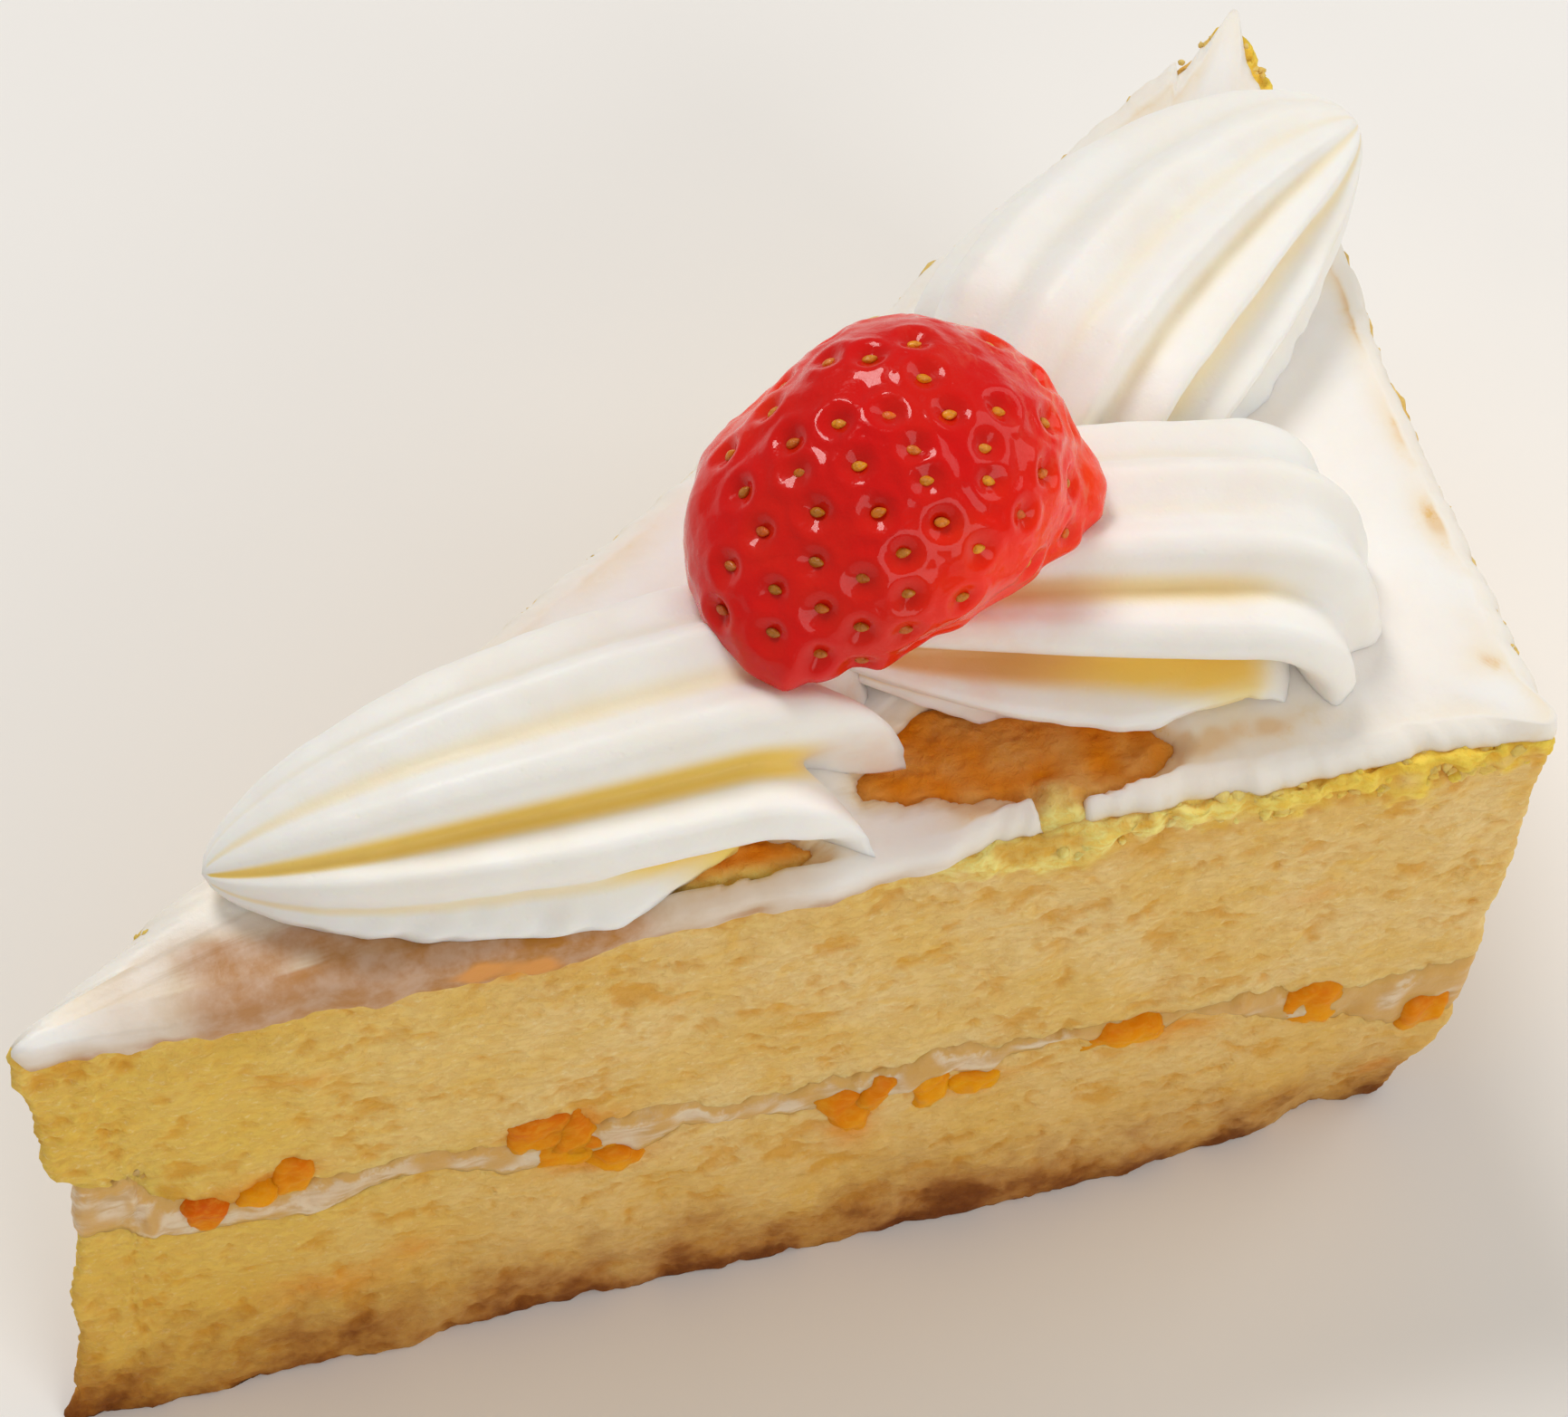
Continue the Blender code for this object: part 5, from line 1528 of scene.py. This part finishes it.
# %% Strawberry materials and pieces
def berry_finish():
    """Wet strawberry skin."""
    skin = Finish("strawberry_skin")
    dimple, _, _ = skin.marks()
    cloudy = skin.step(skin.mottle(5.0, 3.0), 0.3, 0.7)
    colour = skin.mixed(cloudy, (255, 34, 0), (255, 62, 2))
    side = skin.plus(skin.axis("X"), skin.times(skin.axis("Y"), 0.6))
    colour = skin.mixed(skin.step(side, 0.0, -12.0, 0.0, 0.75), colour, (206, 8, 18))
    # Painted shade: the top is a darker crimson.
    colour = skin.mixed(skin.step(skin.axis("Z"), 65.0, 71.0, 0.0, 0.85), colour, (208, 4, 12))
    streaks = skin.step(skin.mottle(1.1, 4.0, 0.6, skin.squeezed(1.0, 0.45, 1.0), 0.4), 0.48, 0.7)
    # Pale streaks at the upper right: partly paler skin, partly a painted sheen.
    pale = skin.times(skin.step(side, 4.0, 14.0), streaks)
    colour = skin.mixed(skin.times(pale, 0.6), colour, (240, 136, 104))
    # Painted shade in the dimples round the seeds.
    colour = skin.mixed(skin.times(dimple, 0.4), colour, (190, 30, 8))
    fine = skin.bump(skin.mottle(0.5, 3.0, 0.5), 0.03)
    normal = skin.bump(skin.mottle(1.2, 3.0, 0.5), 0.18, fine)
    return skin.finish(
        colour, skin.step(cloudy, 0.0, 1.0, 0.18, 0.28), normal, 0.15, (1.0, 0.2, 0.1), 1.5,
        Specular_IOR_Level=0.05, Coat_Weight=0.4, Coat_Roughness=0.03,
    )


def seed_finish():
    """Dry straw-coloured seeds."""
    husk = Finish("strawberry_seed")
    cloudy = husk.step(husk.mottle(4.0, 2.0), 0.35, 0.65)
    colour = husk.mixed(cloudy, (242, 164, 12), (216, 132, 12))
    side = husk.plus(husk.axis("X"), husk.times(husk.axis("Y"), 0.8))
    # Painted shade: the seeds on the low left side are browner.
    colour = husk.mixed(husk.step(side, -6.0, -15.0, 0.0, 0.75), colour, (158, 98, 18))
    red, _, _ = husk.marks()
    colour = husk.mixed(husk.times(red, 0.75), colour, (226, 70, 14))
    ribs = husk.step(husk.mottle(0.3, 3.0, 0.5), 0.4, 0.7)
    colour = husk.mixed(husk.times(ribs, 0.3), colour, (150, 84, 26))
    return husk.finish(
        colour, husk.step(ribs, 0.0, 1.0, 0.3, 0.5), husk.bump(ribs, 0.05),
        0.1, (1.0, 0.5, 0.2), 0.4,
    )


new_piece("strawberry_flesh", build_berry(), berry_finish(), "strawberry", "strawberry_half")
new_piece("strawberry_seeds", build_seeds(), seed_finish(), "strawberry")

# %% [markdown]
# ## Loose crumbs
#
# The knife tore small crumbs out of the crust. They cling to the top edge on the right, to
# the edge behind, and a few lie round the bare patch. Each is an icosphere of a few dozen
# faces, knocked out of shape, and all of them are one piece.

# %% Build the crumbs
FRONT_CRUMBS = 90
EDGE_CRUMBS = (("back", 60), ("right", 50))


def add_crumb(block, marks, draw, place, size, golden):
    """Add one crumb."""
    ball = bmesh.ops.create_icosphere(block, subdivisions=2, radius=1.0)["verts"]
    shift = Vector((draw.uniform(0, 50), draw.uniform(0, 50), draw.uniform(0, 50)))
    stretch = Vector((draw.uniform(0.8, 1.4), draw.uniform(0.7, 1.2), draw.uniform(0.6, 1.0)))
    turn = Matrix.Rotation(draw.uniform(0, math.tau), 3, "Z")
    turn = turn @ Matrix.Rotation(draw.uniform(-0.6, 0.6), 3, "X")
    for vertex in ball:
        rough = 1.0 + 0.45 * noise.noise(vertex.co * 1.3 + shift)
        rough += 0.25 * noise.noise(vertex.co * 3.1 + shift)
        vertex.co = place + turn @ (vertex.co * stretch * (size * rough))
        vertex[marks] = (0.0, golden, 0.0, 1.0)


def build_crumbs():
    """All the loose crumbs."""
    block = bmesh.new()
    marks = block.verts.layers.float_color.new("marks")
    draw = random.Random(21)
    for _ in range(FRONT_CRUMBS):
        x = 14.5 + 36.3 * draw.random() ** 0.85
        down = draw.random() ** 1.6
        height = SPONGE_TOP / MM - 2.4 * down
        point = Vector((x, FRONT_Y)) * MM
        side = shaped_side(point, Vector((0.0, -1.0)), height * MM, draw.uniform(-0.6, -0.25) * MM)
        inward = draw.uniform(0.0, 0.9) * MM * (1.0 - down) if down < 0.25 else 0.0
        place = Vector((side.x, side.y + inward, height * MM))
        add_crumb(block, marks, draw, place, draw.uniform(0.3, 0.6) * MM, draw.uniform(0.3, 1.0))
    for side_name, count in EDGE_CRUMBS:
        start, end = SIDES[side_name]
        way = (end - start).normalized()
        outward = Vector((way.y, -way.x))
        for _ in range(count):
            point = start.lerp(end, draw.uniform(0.03, 0.97))
            inset = draw.uniform(0.35, 0.9)
            height = (46.1 + 0.85 * inset) * MM
            flat = shaped_side(point, outward, height, -inset * MM)
            place = lifted(flat, height)
            add_crumb(block, marks, draw, place, draw.uniform(0.14, 0.28) * MM, 0.3 * draw.random())
    return block


new_piece("loose_crumbs", build_crumbs(), SPONGE, "sponge")
